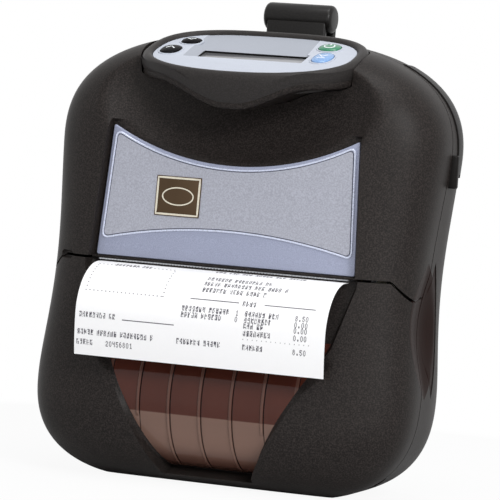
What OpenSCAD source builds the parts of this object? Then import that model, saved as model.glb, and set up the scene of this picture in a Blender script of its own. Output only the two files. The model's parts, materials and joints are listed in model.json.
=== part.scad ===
// Portable thermal printer. It stands on its flat base with the display end up,
// its front towards -Y and its right side towards +X. The origin is the middle of the base.

/* [Body] */
// Width of the body at its widest
body_w = 164; // [160:1:180]
// Height of the body under the display rim
body_h = 178; // [176:1:184]
// How far the flat back lies behind the origin
back_y = 31; // [30:0.5:36]
// How far the front crest stands out at slot height
crest_y = 38; // [37:0.5:42]
// How far the widest contour lies before the origin at slot height
contour_y = 6.2; // [5:0.1:7]
// Wall of the housing shells
wall = 2.4; // [2:0.1:2.8]
// How much the sides draw in at slot height, on each side
waist = 4.8; // [3:0.1:6]
// Clearance between neighbouring shells
seam = 0.3; // [0.2:0.05:0.4]

/* [Media] */
// Width of the paper
paper_w = 104; // [96:1:105]
// Thickness of the modelled paper
paper_t = 0.3; // [0.2:0.05:0.35]
// Diameter of the paper roll
roll_d = 57; // [50:1:58]
// Outside diameter of the roll's core
core_d = 25; // [23:0.5:28]
// Bore of the core
core_bore = 19; // [17:0.5:20]
// How far each roll support slides out
support_travel = 4; // [3:0.5:5]
// Thickness of the roll support discs
support_t = 3; // [2:0.25:3]
// Diameter of the roll support discs
support_d = 40; // [34:1:46]

/* [Print mechanism] */
// Height of the paper slot above the base
slot_z = 85.3; // [86:0.1:89]
// Diameter of the platen roller
platen_d = 11; // [10:0.25:11.5]
// How far the platen axis stands before the origin
platen_y = 20; // [19:0.25:20.5]
// Diameter of the platen shaft
shaft_d = 5; // [4:0.25:6]
// Module of the gears
gear_m = 0.6; // [0.5:0.05:0.6]
// Teeth on the platen gear
platen_teeth = 18; // [16:1:18]
// Teeth on the idler gear
idler_teeth = 44; // [40:1:44]
// Teeth on the motor pinion
pinion_teeth = 14; // [12:1:14]
// Face width of the gears
gear_t = 4; // [3:0.25:4.5]
// Diameter of the stepper motor
motor_d = 20; // [18:0.5:20.5]
// Length of the stepper motor
motor_l = 21; // [16:0.5:24]

/* [Display] */
// Width of the display fascia
fascia_w = 82; // [78:1:84]
// Depth of the display fascia before the middle of the screen
fascia_front = 23; // [21:0.5:24]
// Depth of the display fascia behind the middle of the screen
fascia_rear = 25; // [23:0.5:26]
// Tilt of the display towards the front
display_tilt = 19.3; // [16:0.1:22]
// Width of the rim round the fascia
rim_w = 4.5; // [3.5:0.1:5]
// Width of the screen
screen_w = 45; // [40:0.5:46]
// Depth of the screen
screen_d = 10; // [8:0.5:11]
// Travel of the keys
key_travel = 0.8; // [0.5:0.1:1]

/* [Label] */
// Width of the label plate at its foot
label_w = 109; // [104:0.5:110]
// Width of the label plate at its head
label_head_w = 103.5; // [98:0.5:105]
// Height of the label plate
label_h = 52.5; // [48:0.5:53]
// Thickness of the label plate
label_t = 1.6; // [1.2:0.1:2]
// Thickness of the silver overlay
overlay_t = 0.6; // [0.4:0.1:0.8]

/* [Battery and belt clip] */
// Length of the battery pack
battery_l = 66; // [60:1:67]
// Thickness of the battery pack
battery_t = 18.5; // [16:0.5:19]
// Height of the battery pack
battery_h = 49; // [42:1:50]
// Length of the belt clip's roll
clip_w = 29.5; // [24:0.5:34]
// Diameter of the belt clip's roll
clip_roll_d = 11.5; // [10:0.25:12]
// Thickness of the belt clip's leaf
clip_t = 2.4; // [2:0.1:3]

/* [Hidden] */
$fn = 48;
e = 0.01;
side_span = 400;

// The body's outer form
mid_z = body_h / 2 - 3;
out_h = body_h - mid_z;
lean = 0.139;
crest_lean = 0.11;
chin_z = 32;
chin_r = 31.5;
shoulder_z = body_h - 30;
shoulder_r = 30.5;
waist_span = 47;
waist_z = slot_z - 2.6;
corner_z = body_h - 47;
corner_r = 48.05;
corner_n = 2.56;
base_corner_z = 59;
base_corner_r = 61.5;
base_corner_n = 3.45;
nose_n = 3.2;
back_n = 4;
back_bulge = 3;
ring_pts = 40;
ring_levels = 24;

function limit(t) = min(0.9999, max(0, t));
function oval(t, n) = pow(1 - pow(limit(t), n), 1 / n);
function contour(z) = -contour_y + lean * (z - slot_z);
function waist_at(z) = waist * exp(-pow((z - waist_z) / waist_span, 2));
function half_w(z, off = 0) = (body_w / 2 - off) * oval((z - corner_z) / (corner_r - off), corner_n)
    * oval((base_corner_z - z) / (base_corner_r - off), base_corner_n) - waist_at(z);
function front_end(z, off = 0) =
    z < chin_z ? oval((chin_z - z) / (chin_r - off), 2)
    : z > shoulder_z ? oval((z - shoulder_z) / (shoulder_r - off), 2.5) : 1;
function crest(z) = -crest_y + crest_lean * (z - slot_z);
function front_depth(z, off = 0) = (contour(z) - crest(z) - off) * front_end(z, off);
function back_depth(z, off = 0) =
    (back_y + back_bulge - contour(z) - off) * oval(abs(z - mid_z) / (out_h - off), 7);
function power(v, p) = sign(v) * pow(abs(v), p);
function ring(z, off) = [for (i = [0 : ring_pts - 1])
    let (a = 360 * i / ring_pts, n = sin(a) < 0 ? nose_n : back_n,
         depth = sin(a) < 0 ? front_depth(z, off) : back_depth(z, off))
    [half_w(z, off) * power(cos(a), 2 / n), contour(z) + depth * power(sin(a), 2 / n), z]];

// The glass and the channel floor on the front, from side to side
glass_y = 16;
glass_z = 35;
glass_ry = crest_y - 11.6;
glass_rz = 29;
glass_top = 62;
glass_foot = 6.6;
glass_foot_half = 17.6;
glass_slope = 1.76;
glass_t = 2;
channel_lean = 0.208;
channel_y = crest_y - 7;
channel_half = paper_w / 2 + 4;
knee_z = 49;
rib_pitch = 13;
rib_shift = -0.8;
rib_rise = 0.7;
cover_rise = 0.5;
shoulder_in = 13;

function glass_half(z) = glass_foot_half + (z - glass_foot) / glass_slope;
function floor_mid(z) = z < knee_z
    ? -glass_y - glass_ry * oval(abs(glass_z - z) / glass_rz, 2)
    : -channel_y - channel_lean * (slot_z - z);
function floor_y(x, z) = contour(z) + (floor_mid(z) - contour(z)) * oval(abs(x) / half_w(z), nose_n);
function channel_half_at(z) = z < glass_top ? glass_half(z) + 1 : channel_half;

// Paper path
roll_r = roll_d / 2;
platen_r = platen_d / 2;
paper_gap = 0.35;
platen_z = slot_z - platen_r - paper_gap - paper_t / 2;
roll_y = -6;
roll_z = 39;
path_dy = -platen_y - roll_y;
path_dz = platen_z - roll_z;
path_len = sqrt(path_dy * path_dy + path_dz * path_dz);
path_a = atan2(path_dz, path_dy) - acos((roll_r - platen_r) / path_len);

receipt_arc_r = 19.5;
receipt_lip_y = -31.5;
receipt_foot_z = 49.3;
receipt_curl = 1.5;

// Rail of the roll supports
rail_y = 15;
rail_z = 14.8;
rail_t = 4;
rail_w = 5;
foot_margin = 0.9;

// Widths along the mechanism
roll_half = paper_w / 2;
platen_half = roll_half + 1;
ear_x = platen_half + 0.7;
ear_t = 2.2;
frame_x = ear_x + ear_t + 0.5;
frame_t = 2;
gear_x = frame_x + frame_t + 0.6;
gear_end = gear_x + gear_t;
pin_fit = 0.05;
bush_t = 1.1;

// Print head
head_l = 13;
head_lift = 0.3;
head_t = 2;
bracket_t = 3;
spring_l = 5.5;

// Gear train
platen_pitch = gear_m * platen_teeth / 2;
idler_pitch = gear_m * idler_teeth / 2;
pinion_pitch = gear_m * pinion_teeth / 2;
mesh_gap = 0.15;
idler_a = 20;
pinion_a = 75;
idler_y = -platen_y + (platen_pitch + idler_pitch + mesh_gap) * cos(idler_a);
idler_z = platen_z + (platen_pitch + idler_pitch + mesh_gap) * sin(idler_a);
motor_y = idler_y + (idler_pitch + pinion_pitch + mesh_gap) * cos(pinion_a);
motor_z = idler_z + (idler_pitch + pinion_pitch + mesh_gap) * sin(pinion_a);
idler_pin_r = 2;
pin_head = 0.9;
motor_shaft_r = 1;

// Cover hinge
hinge_y = -17;
hinge_z = 4.4;
knuckle_r = 3.2;
hinge_pin_r = 1.5;
hinge_half = 43;
sweep_r = 6.2;
knuckle_w = 9;
bracket_end = hinge_half - 1;
leaf_start = glass_foot_half + wall + 4;
leaf_end = bracket_end - knuckle_w - 0.5;
bracket_spans = [[-bracket_end, knuckle_w - bracket_end], [-6, 6], [bracket_end - knuckle_w, bracket_end]];
leaf_spans = [[-leaf_end, -leaf_start], [leaf_start, leaf_end]];

// Display frame
display_y = -13.8;
display_z = body_h - 7.5;
rim_h = 1.4;
fascia_t = 2;
pod_depth = 16;
lens_front_n = 2.2;
lens_rear_n = 3;
key_gap = 0.2;
board_t = 1.2;
keypad_z = -8.4;
dome_h = 0.3;
key_foot = keypad_z + board_t + dome_h + key_travel + 0.1;
key_flange = 0.3;
key_flange_z = -4.2;
key_flange_t = 1.9;
wave_x = 55;
// Each key's place across and up the fascia, its width and its depth
keys = [[fascia_w / 2 - 13.8, 14.8, 9, 8], [screen_w / 2 + 6.4, 1.8, 8, 12], [6 - fascia_w / 2, 0.5, 8, 10],
    [10 - fascia_w / 2, 12.5, 8, 7]];

// Label frame
label_y = 8.8 - crest_y;
label_z = slot_z + 2.6;
label_tilt = 3.5;
badge_x = -31;
badge_z = 15.5;
badge_w = 19;
badge_h = 21;
scoop = [0, -45, body_h - 20];
scoop_r = [74, 32, 39];

// Battery, latch and clip
battery_end_x = -body_w / 2 + 13;
battery_x = battery_end_x + battery_l;
battery_z = slot_z + 11.7;
battery_y = back_y - 7 - battery_t;
battery_bevel = 2.5;
bay_t = 1.2;
bay_gap = 0.4;
battery_key_t = 3;
battery_key_travel = 1.5;
lug_z = 124;
lug_h = 13;
lug_w = 3.8;
lug_out = 2.6;
latch_y = 0;
latch_z = 68;
latch_h = 52;
latch_w = 12;
latch_travel = 3;
latch_face_x = half_w(latch_z) - 1.6;
latch_seat_x = frame_x + frame_t + 1.6;
hook_x = gear_end + pin_head + latch_travel + 0.3;
hook_t = 1.2;
catch_h = 8;
latch_stem_x = hook_x + hook_t;
latch_button_t = (latch_face_x - latch_stem_x) / 2;
latch_guide_z = latch_z - 4;
clip_post_z = body_h - 20;
clip_roll_y = back_y + 7;
clip_roll_z = body_h + 9.8;
clip_post_r = 6;
clip_r = clip_roll_d / 2;
clip_disc_r = 12;
clip_bend_z = body_h - 30;
clip_foot_z = body_h - 56;
port_y0 = 8;
port_y1 = 22;
port_low = body_h - 50;
port_t = 2.2;
port_x = 55;
battery_key_y = battery_y + 7;
battery_key_z = battery_z + 30;
board_gap = 5.8;
board_x = -44;
board_w = 72;
board_h = 40;
main_board_t = 1.6;
main_board_y = battery_y - bay_gap - bay_t - board_gap - main_board_t - 0.1;
main_board_z = battery_z + 18;
screw_spots = [[-40, 19], [40, 19], [-50, slot_z - 1.3], [50, slot_z - 1.3], [-38, body_h - 12],
    [38, body_h - 12]];
screw_r = 1.5;
screw_head_r = 3.1;

// Shapes used by several sub-parts

// Closed solid through a stack of rings, closer together towards its ends
module ring_solid(off, low, high, levels) {
    rings = [for (i = [0 : levels]) each ring(low + (high - low) * (1 - cos(180 * i / levels)) / 2, off)];
    sides = [for (i = [0 : levels - 1], j = [0 : ring_pts - 1])
        let (k = (j + 1) % ring_pts)
        [i * ring_pts + j, (i + 1) * ring_pts + j, (i + 1) * ring_pts + k, i * ring_pts + k]];
    foot = [for (j = [0 : ring_pts - 1]) j];
    head = [for (j = [ring_pts - 1 : -1 : 0]) levels * ring_pts + j];
    polyhedron(concat(rings), concat(sides, [foot, head]), convexity = 6);
}

// The body's form drawn in by a distance, whole or between two heights
module body_form(off = 0, low = 0, high = side_span, levels = ring_levels) {
    intersection() {
        ring_solid(off, max(low, off), min(high, body_h - off - 0.4), levels);
        translate([-side_span / 2, -side_span + back_y - off, -side_span / 2]) cube(side_span);
    }
}

// Closed solid between two grids of points with the same layout, the first one in front
module grid_solid(front, back) {
    rows = len(front);
    cols = len(front[0]);
    size = rows * cols;
    pts = concat([for (r = front) each r], [for (r = back) each r]);
    faces = concat(
        [for (i = [0 : rows - 2], j = [0 : cols - 2]) [i * cols + j, (i + 1) * cols + j,
            (i + 1) * cols + j + 1, i * cols + j + 1]],
        [for (i = [0 : rows - 2], j = [0 : cols - 2]) [size + i * cols + j, size + i * cols + j + 1,
            size + (i + 1) * cols + j + 1, size + (i + 1) * cols + j]],
        [for (j = [0 : cols - 2]) [j, j + 1, size + j + 1, size + j]],
        [for (j = [0 : cols - 2]) let (a = (rows - 1) * cols + j) [a + 1, a, size + a, size + a + 1]],
        [for (i = [0 : rows - 2]) let (a = i * cols) [a + cols, a, size + a, size + a + cols]],
        [for (i = [0 : rows - 2]) let (a = i * cols + cols - 1) [a, a + cols, size + a + cols, size + a]]);
    polyhedron(pts, faces, convexity = 6);
}

// Outline in the YZ plane, drawn out along X about the middle
module along_x(width) {
    rotate([90, 0, 90]) linear_extrude(width, center = true) children();
}

// Cylinder along X from one place to another
module x_rod(r, x0, x1, y, z) {
    translate([x0, y, z]) rotate([0, 90, 0]) cylinder(h = x1 - x0, r = r);
}

// Half-space in front of the slanted parting plane, or behind it
module parting(front, gap = 0) {
    low = -20;
    high = 220;
    shift = front ? -gap : gap;
    edge = front ? -120 : 120;
    along_x(side_span) polygon([[contour(low) + shift, low], [contour(high) + shift, high],
        [edge, high], [edge, low]]);
}

// Room of the media cover in front view, with its slanted shoulders
module cover_room(gap) {
    top = slot_z + 1.2 - gap;
    corner = body_w / 2 - shoulder_in;
    rotate([90, 0, 0]) linear_extrude(side_span, center = true)
        polygon([[-corner - 40, top - 40], [-corner, top], [corner, top], [corner + 40, top - 40],
            [corner + 40, -20], [-corner - 40, -20]]);
}

// Recess over the glass and the channel above it, widened by a distance
module front_recess(off) {
    low = glass_foot - off;
    high = slot_z + 20;
    rows = 22;
    cols = 10;
    front = [for (i = [0 : rows]) let (z = low + (high - low) * i / rows, h = channel_half_at(z) + off)
        [for (j = [0 : cols]) [-h + 2 * h * j / cols, -90, z]]];
    back = [for (i = [0 : rows]) let (z = low + (high - low) * i / rows, h = channel_half_at(z) + off)
        [for (j = [0 : cols]) let (x = -h + 2 * h * j / cols) [x, floor_y(x, z) + off, z]]];
    grid_solid(front, back);
}

// Strip of the glass surface between two depths
module glass_sheet(rows, cols, gap, near, far) {
    low = glass_foot;
    high = glass_top;
    front = [for (i = [0 : rows]) let (z = low + (high - low) * i / rows, h = glass_half(z) - gap)
        [for (j = [0 : cols]) let (x = -h + 2 * h * j / cols) [x, floor_y(x, z) + near, z]]];
    back = [for (i = [0 : rows]) let (z = low + (high - low) * i / rows, h = glass_half(z) - gap)
        [for (j = [0 : cols]) let (x = -h + 2 * h * j / cols) [x, floor_y(x, z) + far, z]]];
    grid_solid(front, back);
}

// Places its children in the display's tilted frame
module in_display() {
    translate([0, display_y, display_z]) rotate([display_tilt, 0, 0]) children();
}

// Outline of the fascia, grown by a distance
function lens(grow) = [for (i = [0 : 47])
    let (a = 360 * i / 48, n = sin(a) < 0 ? lens_front_n : lens_rear_n,
         depth = (sin(a) < 0 ? fascia_front : fascia_rear) + grow)
    [(fascia_w / 2 + grow) * power(cos(a), 2 / n), depth * power(sin(a), 2 / n)]];

// Room of the display pod, grown by a distance, up to a height over the fascia
module pod_room(grow, high) {
    in_display() translate([0, 0, -pod_depth - grow])
        linear_extrude(pod_depth + grow + high) polygon(lens(rim_w + grow));
}

// Everything above the wave under the pod's front
module above_wave(drop) {
    wave = [for (i = [-12 : 12]) let (x = wave_x * i / 12)
        [x, body_h - 28.8 - drop + 9.5 * pow(x / 38, 2) + 4 * pow(x / 46, 10)]];
    rotate([90, 0, 0]) linear_extrude(side_span, center = true)
        polygon(concat(wave, [[wave_x, body_h + 50], [-wave_x, body_h + 50]]));
}

// Place that the housings leave for the display pod
module pod_place() {
    intersection() {
        pod_room(0.25, 60);
        above_wave(0.3);
    }
}

// Places its children on the label's tilted front plane, x across and y up
module on_label() {
    translate([0, label_y, label_z]) rotate([90 - label_tilt, 0, 0]) children();
}

// Oblong of round ends
module oblong(w, l) {
    d = min(w, l);
    for (s = [-1, 1]) translate([s * (w - d) / 2, s * (l - d) / 2]) circle(d = d);
    if (w > l) square([w - d, d], center = true);
    if (l > w) square([d, l - d], center = true);
}

// Pointed oval, standing along Y
module pointed_oval(w, h) {
    r = (h * h / 4 + w * w / 4) / w;
    intersection() {
        translate([r - w / 2, 0]) circle(r = r, $fn = 96);
        translate([w / 2 - r, 0]) circle(r = r, $fn = 96);
    }
}

// Spur gear in the XY plane with a bore
module spur(teeth, bore) {
    pitch = gear_m * teeth / 2;
    root = pitch - 1.2 * gear_m;
    tip = pitch + 0.9 * gear_m;
    linear_extrude(gear_t) difference() {
        union() {
            circle(r = root, $fn = 64);
            for (i = [0 : teeth - 1]) rotate(360 * i / teeth)
                polygon([[root * 0.9, -0.72 * gear_m], [root, -0.72 * gear_m], [pitch, -0.6 * gear_m],
                    [tip, -0.3 * gear_m], [tip, 0.3 * gear_m], [pitch, 0.6 * gear_m],
                    [root, 0.72 * gear_m], [root * 0.9, 0.72 * gear_m]]);
        }
        if (bore > 0) circle(r = bore);
    }
}

// Round wire wound along Z
module coil(r, wire, turns, length) {
    steps = 8;
    sides = 4;
    count = turns * steps;
    pts = [for (i = [0 : count], j = [0 : sides - 1])
        let (a = 360 * i / steps, b = 360 * j / sides, q = r + wire / 2 * cos(b))
        [q * cos(a), q * sin(a), wire / 2 + (length - wire) * i / count + wire / 2 * sin(b)]];
    skin = [for (i = [0 : count - 1], j = [0 : sides - 1])
        let (a = i * sides + j, b = i * sides + (j + 1) % sides)
        each [[a, b, b + sides], [a, b + sides, a + sides]]];
    last = count * sides;
    ends = [[2, 1, 0], [3, 2, 0], [last, last + 1, last + 2], [last, last + 2, last + 3]];
    polyhedron(pts, concat(skin, ends), convexity = 8);
}

// Housing shells

module latch_hole(gap) {
    translate([body_w / 2 - 22, latch_y, latch_z]) rotate([90, 0, 90])
        linear_extrude(40) pointed_oval(latch_w + 2 * gap, latch_h + 6 * gap);
}

module port_room(gap) {
    translate([0, port_y0 - gap, 0]) rotate([90, 0, 0]) mirror([0, 0, 1])
        linear_extrude(port_y1 - port_y0 + 2 * gap)
            polygon([[port_x + 5, port_low - gap], [body_w, port_low - gap], [body_w, body_h],
                [port_x - gap, body_h], [port_x - gap, port_low + 20]]);
}

module battery_room(gap, deeper = 0) {
    translate([-body_w, battery_y - gap, battery_z - gap])
        cube([body_w + battery_end_x + gap + deeper, battery_t + 2 * gap, battery_h + 2 * gap]);
}

module hinge_room() {
    x_rod(knuckle_r + 0.6, -hinge_half - 1, hinge_half + 1, hinge_y, hinge_z, $fn = 48);
}

// Room that the cover's lower edge sweeps when it opens
module cover_sweep() {
    intersection() {
        x_rod(sweep_r, -side_span / 2, side_span / 2, hinge_y, hinge_z);
        translate([-side_span / 2, hinge_y - 20, -20]) cube([side_span, 40, 20 + hinge_z]);
    }
}

module rear_housing() {
    color([0.19, 0.18, 0.17]) difference() {
        intersection() {
            body_form();
            parting(false, seam / 2);
        }
        intersection() {
            body_form(wall);
            translate([0, -wall, 0]) parting(false, 0);
        }
        cover_sweep();
        hinge_room();
        pod_place();
        latch_hole(0.3);
        port_room(0.3);
        battery_room(0.3, 3);
        translate([0, back_y + e, clip_post_z]) rotate([90, 0, 0]) cylinder(h = 8, r = clip_post_r + 2.2);
        for (s = screw_spots) translate([s[0], back_y + e, s[1]]) rotate([90, 0, 0]) {
            cylinder(h = 1.2, r = screw_head_r + 0.2);
            cylinder(h = 8, r = screw_r + 0.2);
        }
    }
}

module label_recess(off) {
    on_label() translate([0, 0, -label_t - off]) linear_extrude(60)
        polygon([[-label_w / 2 - 1 - off, -14], [label_w / 2 + 1 + off, -14],
            [label_w / 2 + 1 + off, 0], [label_head_w / 2 + 0.8 + off, label_h + 0.8 + off],
            [-label_head_w / 2 - 0.8 - off, label_h + 0.8 + off], [-label_w / 2 - 1 - off, 0]]);
}

module scoop_room(off) {
    hull() translate(scoop) scale([scoop_r[0] + off, scoop_r[1] + off, scoop_r[2] + off])
        sphere(r = 1, $fn = 36);
}

module front_housing() {
    color([0.19, 0.18, 0.17]) difference() {
        union() {
            difference() {
                intersection() {
                    body_form();
                    parting(true, seam / 2);
                }
                intersection() {
                    difference() {
                        body_form(wall);
                        label_recess(wall);
                        scoop_room(wall);
                    }
                    translate([0, wall, 0]) parting(true, 0);
                }
                label_recess(0);
                scoop_room(0);
            }
            translate([-label_w / 2 - 1.5, label_y - 0.8, slot_z + 1.4]) cube([label_w + 3, 9, 1]);
        }
        cover_room(-seam / 2 - cover_rise);
        pod_place();
    }
}

module media_cover() {
    color([0.19, 0.18, 0.17]) difference() {
        intersection() {
            body_form();
            parting(true, seam / 2);
            cover_room(seam / 2);
        }
        intersection() {
            difference() {
                body_form(wall);
                front_recess(wall);
            }
            translate([0, wall, 0]) parting(true, 0);
        }
        front_recess(0);
        glass_sheet(12, 6, -0.15, -1, 10);
        hinge_room();
        translate([-channel_half, -60, slot_z - 0.9]) cube([2 * channel_half, 80, 20]);
    }
}

module media_window() {
    color([0.36, 0.24, 0.21, 0.7]) {
        glass_sheet(18, 12, 0.1, 0, glass_t);
        for (i = [-2 : 2]) window_rib(rib_pitch * i + rib_shift);
    }
}

module window_rib(x) {
    low = max(glass_foot, glass_foot + (abs(x) + 1.6 - glass_foot_half) * glass_slope);
    rows = 10;
    front = [for (i = [0 : rows]) let (z = low + (glass_top - low) * i / rows)
        [for (s = [-1, 1]) [x + 0.6 * s, floor_y(x, z) - rib_rise, z]]];
    back = [for (i = [0 : rows]) let (z = low + (glass_top - low) * i / rows)
        [for (s = [-1, 1]) [x + 0.9 * s, floor_y(x, z) + 0.5, z]]];
    grid_solid(front, back);
}

// Display

module display_bezel() {
    color([0.27, 0.26, 0.25]) difference() {
        intersection() {
            pod_room(0, rim_h);
            above_wave(0);
        }
        in_display() {
            translate([0, 0, -fascia_t]) linear_extrude(20) polygon(lens(0.2));
            translate([0, 0, keypad_z]) linear_extrude(20) polygon(lens(-1.6));
            translate([0, 1, -pod_depth - 5]) linear_extrude(20) square([60, 26], center = true);
        }
    }
}

module display_fascia() {
    color([0.82, 0.84, 0.89]) in_display() translate([0, 0, -fascia_t]) linear_extrude(fascia_t)
        difference() {
            polygon(lens(0));
            for (k = keys) translate([k[0], k[1]]) oblong(k[2] + 2 * key_gap, k[3] + 2 * key_gap);
            square([screen_w, screen_d], center = true);
        }
}

module lcd_window() {
    color([0.6, 0.62, 0.6]) in_display() translate([0, 0, -1.7]) linear_extrude(1.1)
        square([screen_w - 0.3, screen_d - 0.3], center = true);
}

module lcd_module() {
    color([0.45, 0.5, 0.45]) in_display() translate([0, 0, keypad_z + board_t])
        linear_extrude(-keypad_z - board_t - fascia_t - 0.1)
            square([screen_w + 2, screen_d + 6], center = true);
}

module keypad_board() {
    color([0.1, 0.35, 0.2]) in_display() translate([0, 0, keypad_z]) {
        linear_extrude(board_t) polygon(lens(-2));
        for (k = keys) translate([k[0], k[1], 0]) cylinder(h = board_t + dome_h, r = 2.4);
    }
}

module key(i) {
    k = keys[i];
    in_display() translate([k[0], k[1], 0]) {
        translate([0, 0, key_foot]) linear_extrude(key_travel - key_foot) oblong(k[2], k[3]);
        translate([0, 0, key_flange_z]) linear_extrude(key_flange_t)
            oblong(k[2] + 2 * key_flange, k[3] + 2 * key_flange);
    }
}

module power_key() color([0.1, 0.5, 0.3]) key(0);
module feed_key() color([0.5, 0.7, 0.9]) key(1);
module menu_key() color([0.06, 0.06, 0.06]) key(2);
module select_key() color([0.06, 0.06, 0.06]) key(3);

// Label

module label_outline(inset) {
    arc_r = 107;
    difference() {
        polygon([[-label_w / 2 + inset, inset], [label_w / 2 - inset, inset],
            [label_head_w / 2 - inset, label_h - inset], [-label_head_w / 2 + inset, label_h - inset]]);
        translate([0, label_h - 13.5 - inset + arc_r]) circle(r = arc_r, $fn = 120);
    }
}

module label_panel() {
    color([0.6, 0.63, 0.72]) on_label() translate([0, 0, -label_t + 0.1])
        linear_extrude(label_t - 0.1) label_outline(0);
}

module label_overlay() {
    sill_r = 214;
    color([0.69, 0.7, 0.74]) on_label() linear_extrude(overlay_t) difference() {
        label_outline(1.2);
        translate([0, 12.7 - sill_r]) circle(r = sill_r, $fn = 180);
    }
}

module badge_plate() {
    color([0.3, 0.24, 0.19]) on_label() translate([badge_x, badge_z, overlay_t])
        linear_extrude(0.5) square([badge_w, badge_h]);
}

module tear_bar() {
    tooth = 1.3;
    count = floor((paper_w + 2) / tooth);
    color([0.5, 0.47, 0.45]) translate([0, label_y - 1.4, slot_z + 0.9]) linear_extrude(0.45) {
        translate([-count * tooth / 2, 0]) square([count * tooth, 8]);
        for (i = [0 : count - 1]) translate([(i - count / 2) * tooth, 0])
            polygon([[0, e], [tooth / 2, -0.7], [tooth, e]]);
    }
}

// Paper

function arc_pts(cy, cz, r, a0, a1, n) = [for (i = [0 : n]) let (a = a0 + (a1 - a0) * i / n)
    [cy + r * cos(a), cz + r * sin(a)]];

module receipt() {
    r0 = platen_r + paper_gap;
    r1 = r0 + paper_t;
    cz = platen_z + r0 - receipt_arc_r;
    far_y = receipt_lip_y - receipt_arc_r;
    color([0.97, 0.97, 0.98]) along_x(paper_w) polygon(concat(
        arc_pts(-platen_y, platen_z, r1, path_a, 90, 5),
        arc_pts(receipt_lip_y, cz, receipt_arc_r + paper_t, 90, 180, 12),
        [[far_y - paper_t + receipt_curl, receipt_foot_z], [far_y + receipt_curl, receipt_foot_z]],
        arc_pts(receipt_lip_y, cz, receipt_arc_r, 180, 90, 12),
        arc_pts(-platen_y, platen_z, r0, 90, path_a, 5)));
}

module paper_web() {
    n = [cos(path_a), sin(path_a)];
    near = platen_r + paper_gap;
    far = roll_r + 0.15;
    color([0.93, 0.93, 0.94]) along_x(paper_w) polygon([
        [-platen_y, platen_z] + near * n, [-platen_y, platen_z] + (near + paper_t) * n,
        [roll_y, roll_z] + (far + paper_t) * n, [roll_y, roll_z] + far * n]);
}

module media_roll() {
    color([0.95, 0.95, 0.93]) difference() {
        x_rod(roll_r, -roll_half, roll_half, roll_y, roll_z, $fn = 96);
        x_rod(core_d / 2 + e, -roll_half - 1, roll_half + 1, roll_y, roll_z);
    }
}

module roll_core() {
    color([0.7, 0.6, 0.45]) difference() {
        x_rod(core_d / 2, -roll_half, roll_half, roll_y, roll_z);
        x_rod(core_bore / 2, -roll_half - 1, roll_half + 1, roll_y, roll_z);
    }
}

module roll_support() {
    x0 = roll_half + 0.4;
    foot_w = rail_w / 2 + foot_margin;
    foot_h = rail_t / 2 + foot_margin;
    difference() {
        union() {
            x_rod(support_d / 2, x0, x0 + support_t, roll_y, roll_z);
            x_rod(core_bore / 2 - 0.3, x0 - support_travel + 0.8, x0 + e, roll_y, roll_z);
            along_x_from(x0, support_t) polygon([[roll_y - 2, roll_z - support_d / 2 + 3],
                [roll_y + support_d / 2 - 3, roll_z], [rail_y + foot_w, rail_z + foot_h],
                [rail_y + foot_w, rail_z - foot_h], [rail_y - foot_w, rail_z - foot_h]]);
        }
        translate([x0 - 1, rail_y - rail_w / 2 - 0.3, rail_z - rail_t / 2 - 0.3])
            cube([support_t + 2, rail_w + 0.6, rail_t + 0.6]);
    }
}

module along_x_from(x0, width) {
    translate([x0, 0, 0]) rotate([90, 0, 90]) linear_extrude(width) children();
}

module roll_support_right() color([0.2, 0.2, 0.22]) roll_support();
module roll_support_left() color([0.2, 0.2, 0.22]) mirror([1, 0, 0]) roll_support();

module support_rail() {
    half = roll_half + support_t + support_travel + 0.8;
    color([0.6, 0.6, 0.62]) {
        translate([-half, rail_y - rail_w / 2, rail_z - rail_t / 2]) cube([2 * half, rail_w, rail_t]);
        for (s = [-1, 1]) translate([s * 30 - 5, rail_y - 2, wall + 0.1])
            cube([10, 4, rail_z - rail_t / 2 - wall]);
    }
}

// Print mechanism

module platen_roller() {
    color([0.12, 0.12, 0.12]) difference() {
        x_rod(platen_r, -platen_half, platen_half, -platen_y, platen_z, $fn = 64);
        x_rod(shaft_d / 2 + e, -platen_half - 1, platen_half + 1, -platen_y, platen_z);
    }
}

module platen_shaft() {
    color([0.75, 0.76, 0.78])
        x_rod(shaft_d / 2, -ear_x - ear_t - 1, gear_end + 0.6, -platen_y, platen_z);
}

module platen_gear() {
    color([0.9, 0.88, 0.8]) translate([gear_x, -platen_y, platen_z]) rotate([90, 0, 90])
        rotate(idler_a) spur(platen_teeth, shaft_d / 2 + e);
}

module platen_bushes() {
    color([0.8, 0.72, 0.5]) for (s = [-1, 1]) difference() {
        x_rod(shaft_d / 2 + bush_t, s * (ear_x + ear_t / 2) - ear_t / 2, s * (ear_x + ear_t / 2) + ear_t / 2,
            -platen_y, platen_z);
        x_rod(shaft_d / 2 + pin_fit, -ear_x - 10, ear_x + 10, -platen_y, platen_z);
    }
}

module platen_carrier() {
    bar_z = platen_z - 14;
    bar_y = -platen_y - 7.6;
    post_r = 2.5;
    post_z = bar_z + 3.5;
    color([0.25, 0.25, 0.27]) difference() {
        union() {
            translate([-ear_x - ear_t, bar_y, bar_z]) cube([2 * (ear_x + ear_t), 2, 7]);
            for (s = [-1, 1]) translate([s * (ear_x + ear_t / 2), 0, 0]) along_x(ear_t) {
                polygon([[bar_y, bar_z], [-platen_y + 2, bar_z], [-platen_y + 4, platen_z],
                    [-platen_y - 4, platen_z], [bar_y, platen_z - 6]]);
                translate([-platen_y, platen_z]) circle(r = 5);
            }
            for (x = [-40, 0, 40]) translate([x, bar_y + 1, post_z]) rotate([90, 0, 0])
                cylinder(h = bar_y + 1 - floor_y(x, post_z + post_r) - wall - seam, r = post_r);
        }
        x_rod(shaft_d / 2 + bush_t + e, -ear_x - 10, ear_x + 10, -platen_y, platen_z);
    }
}

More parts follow.
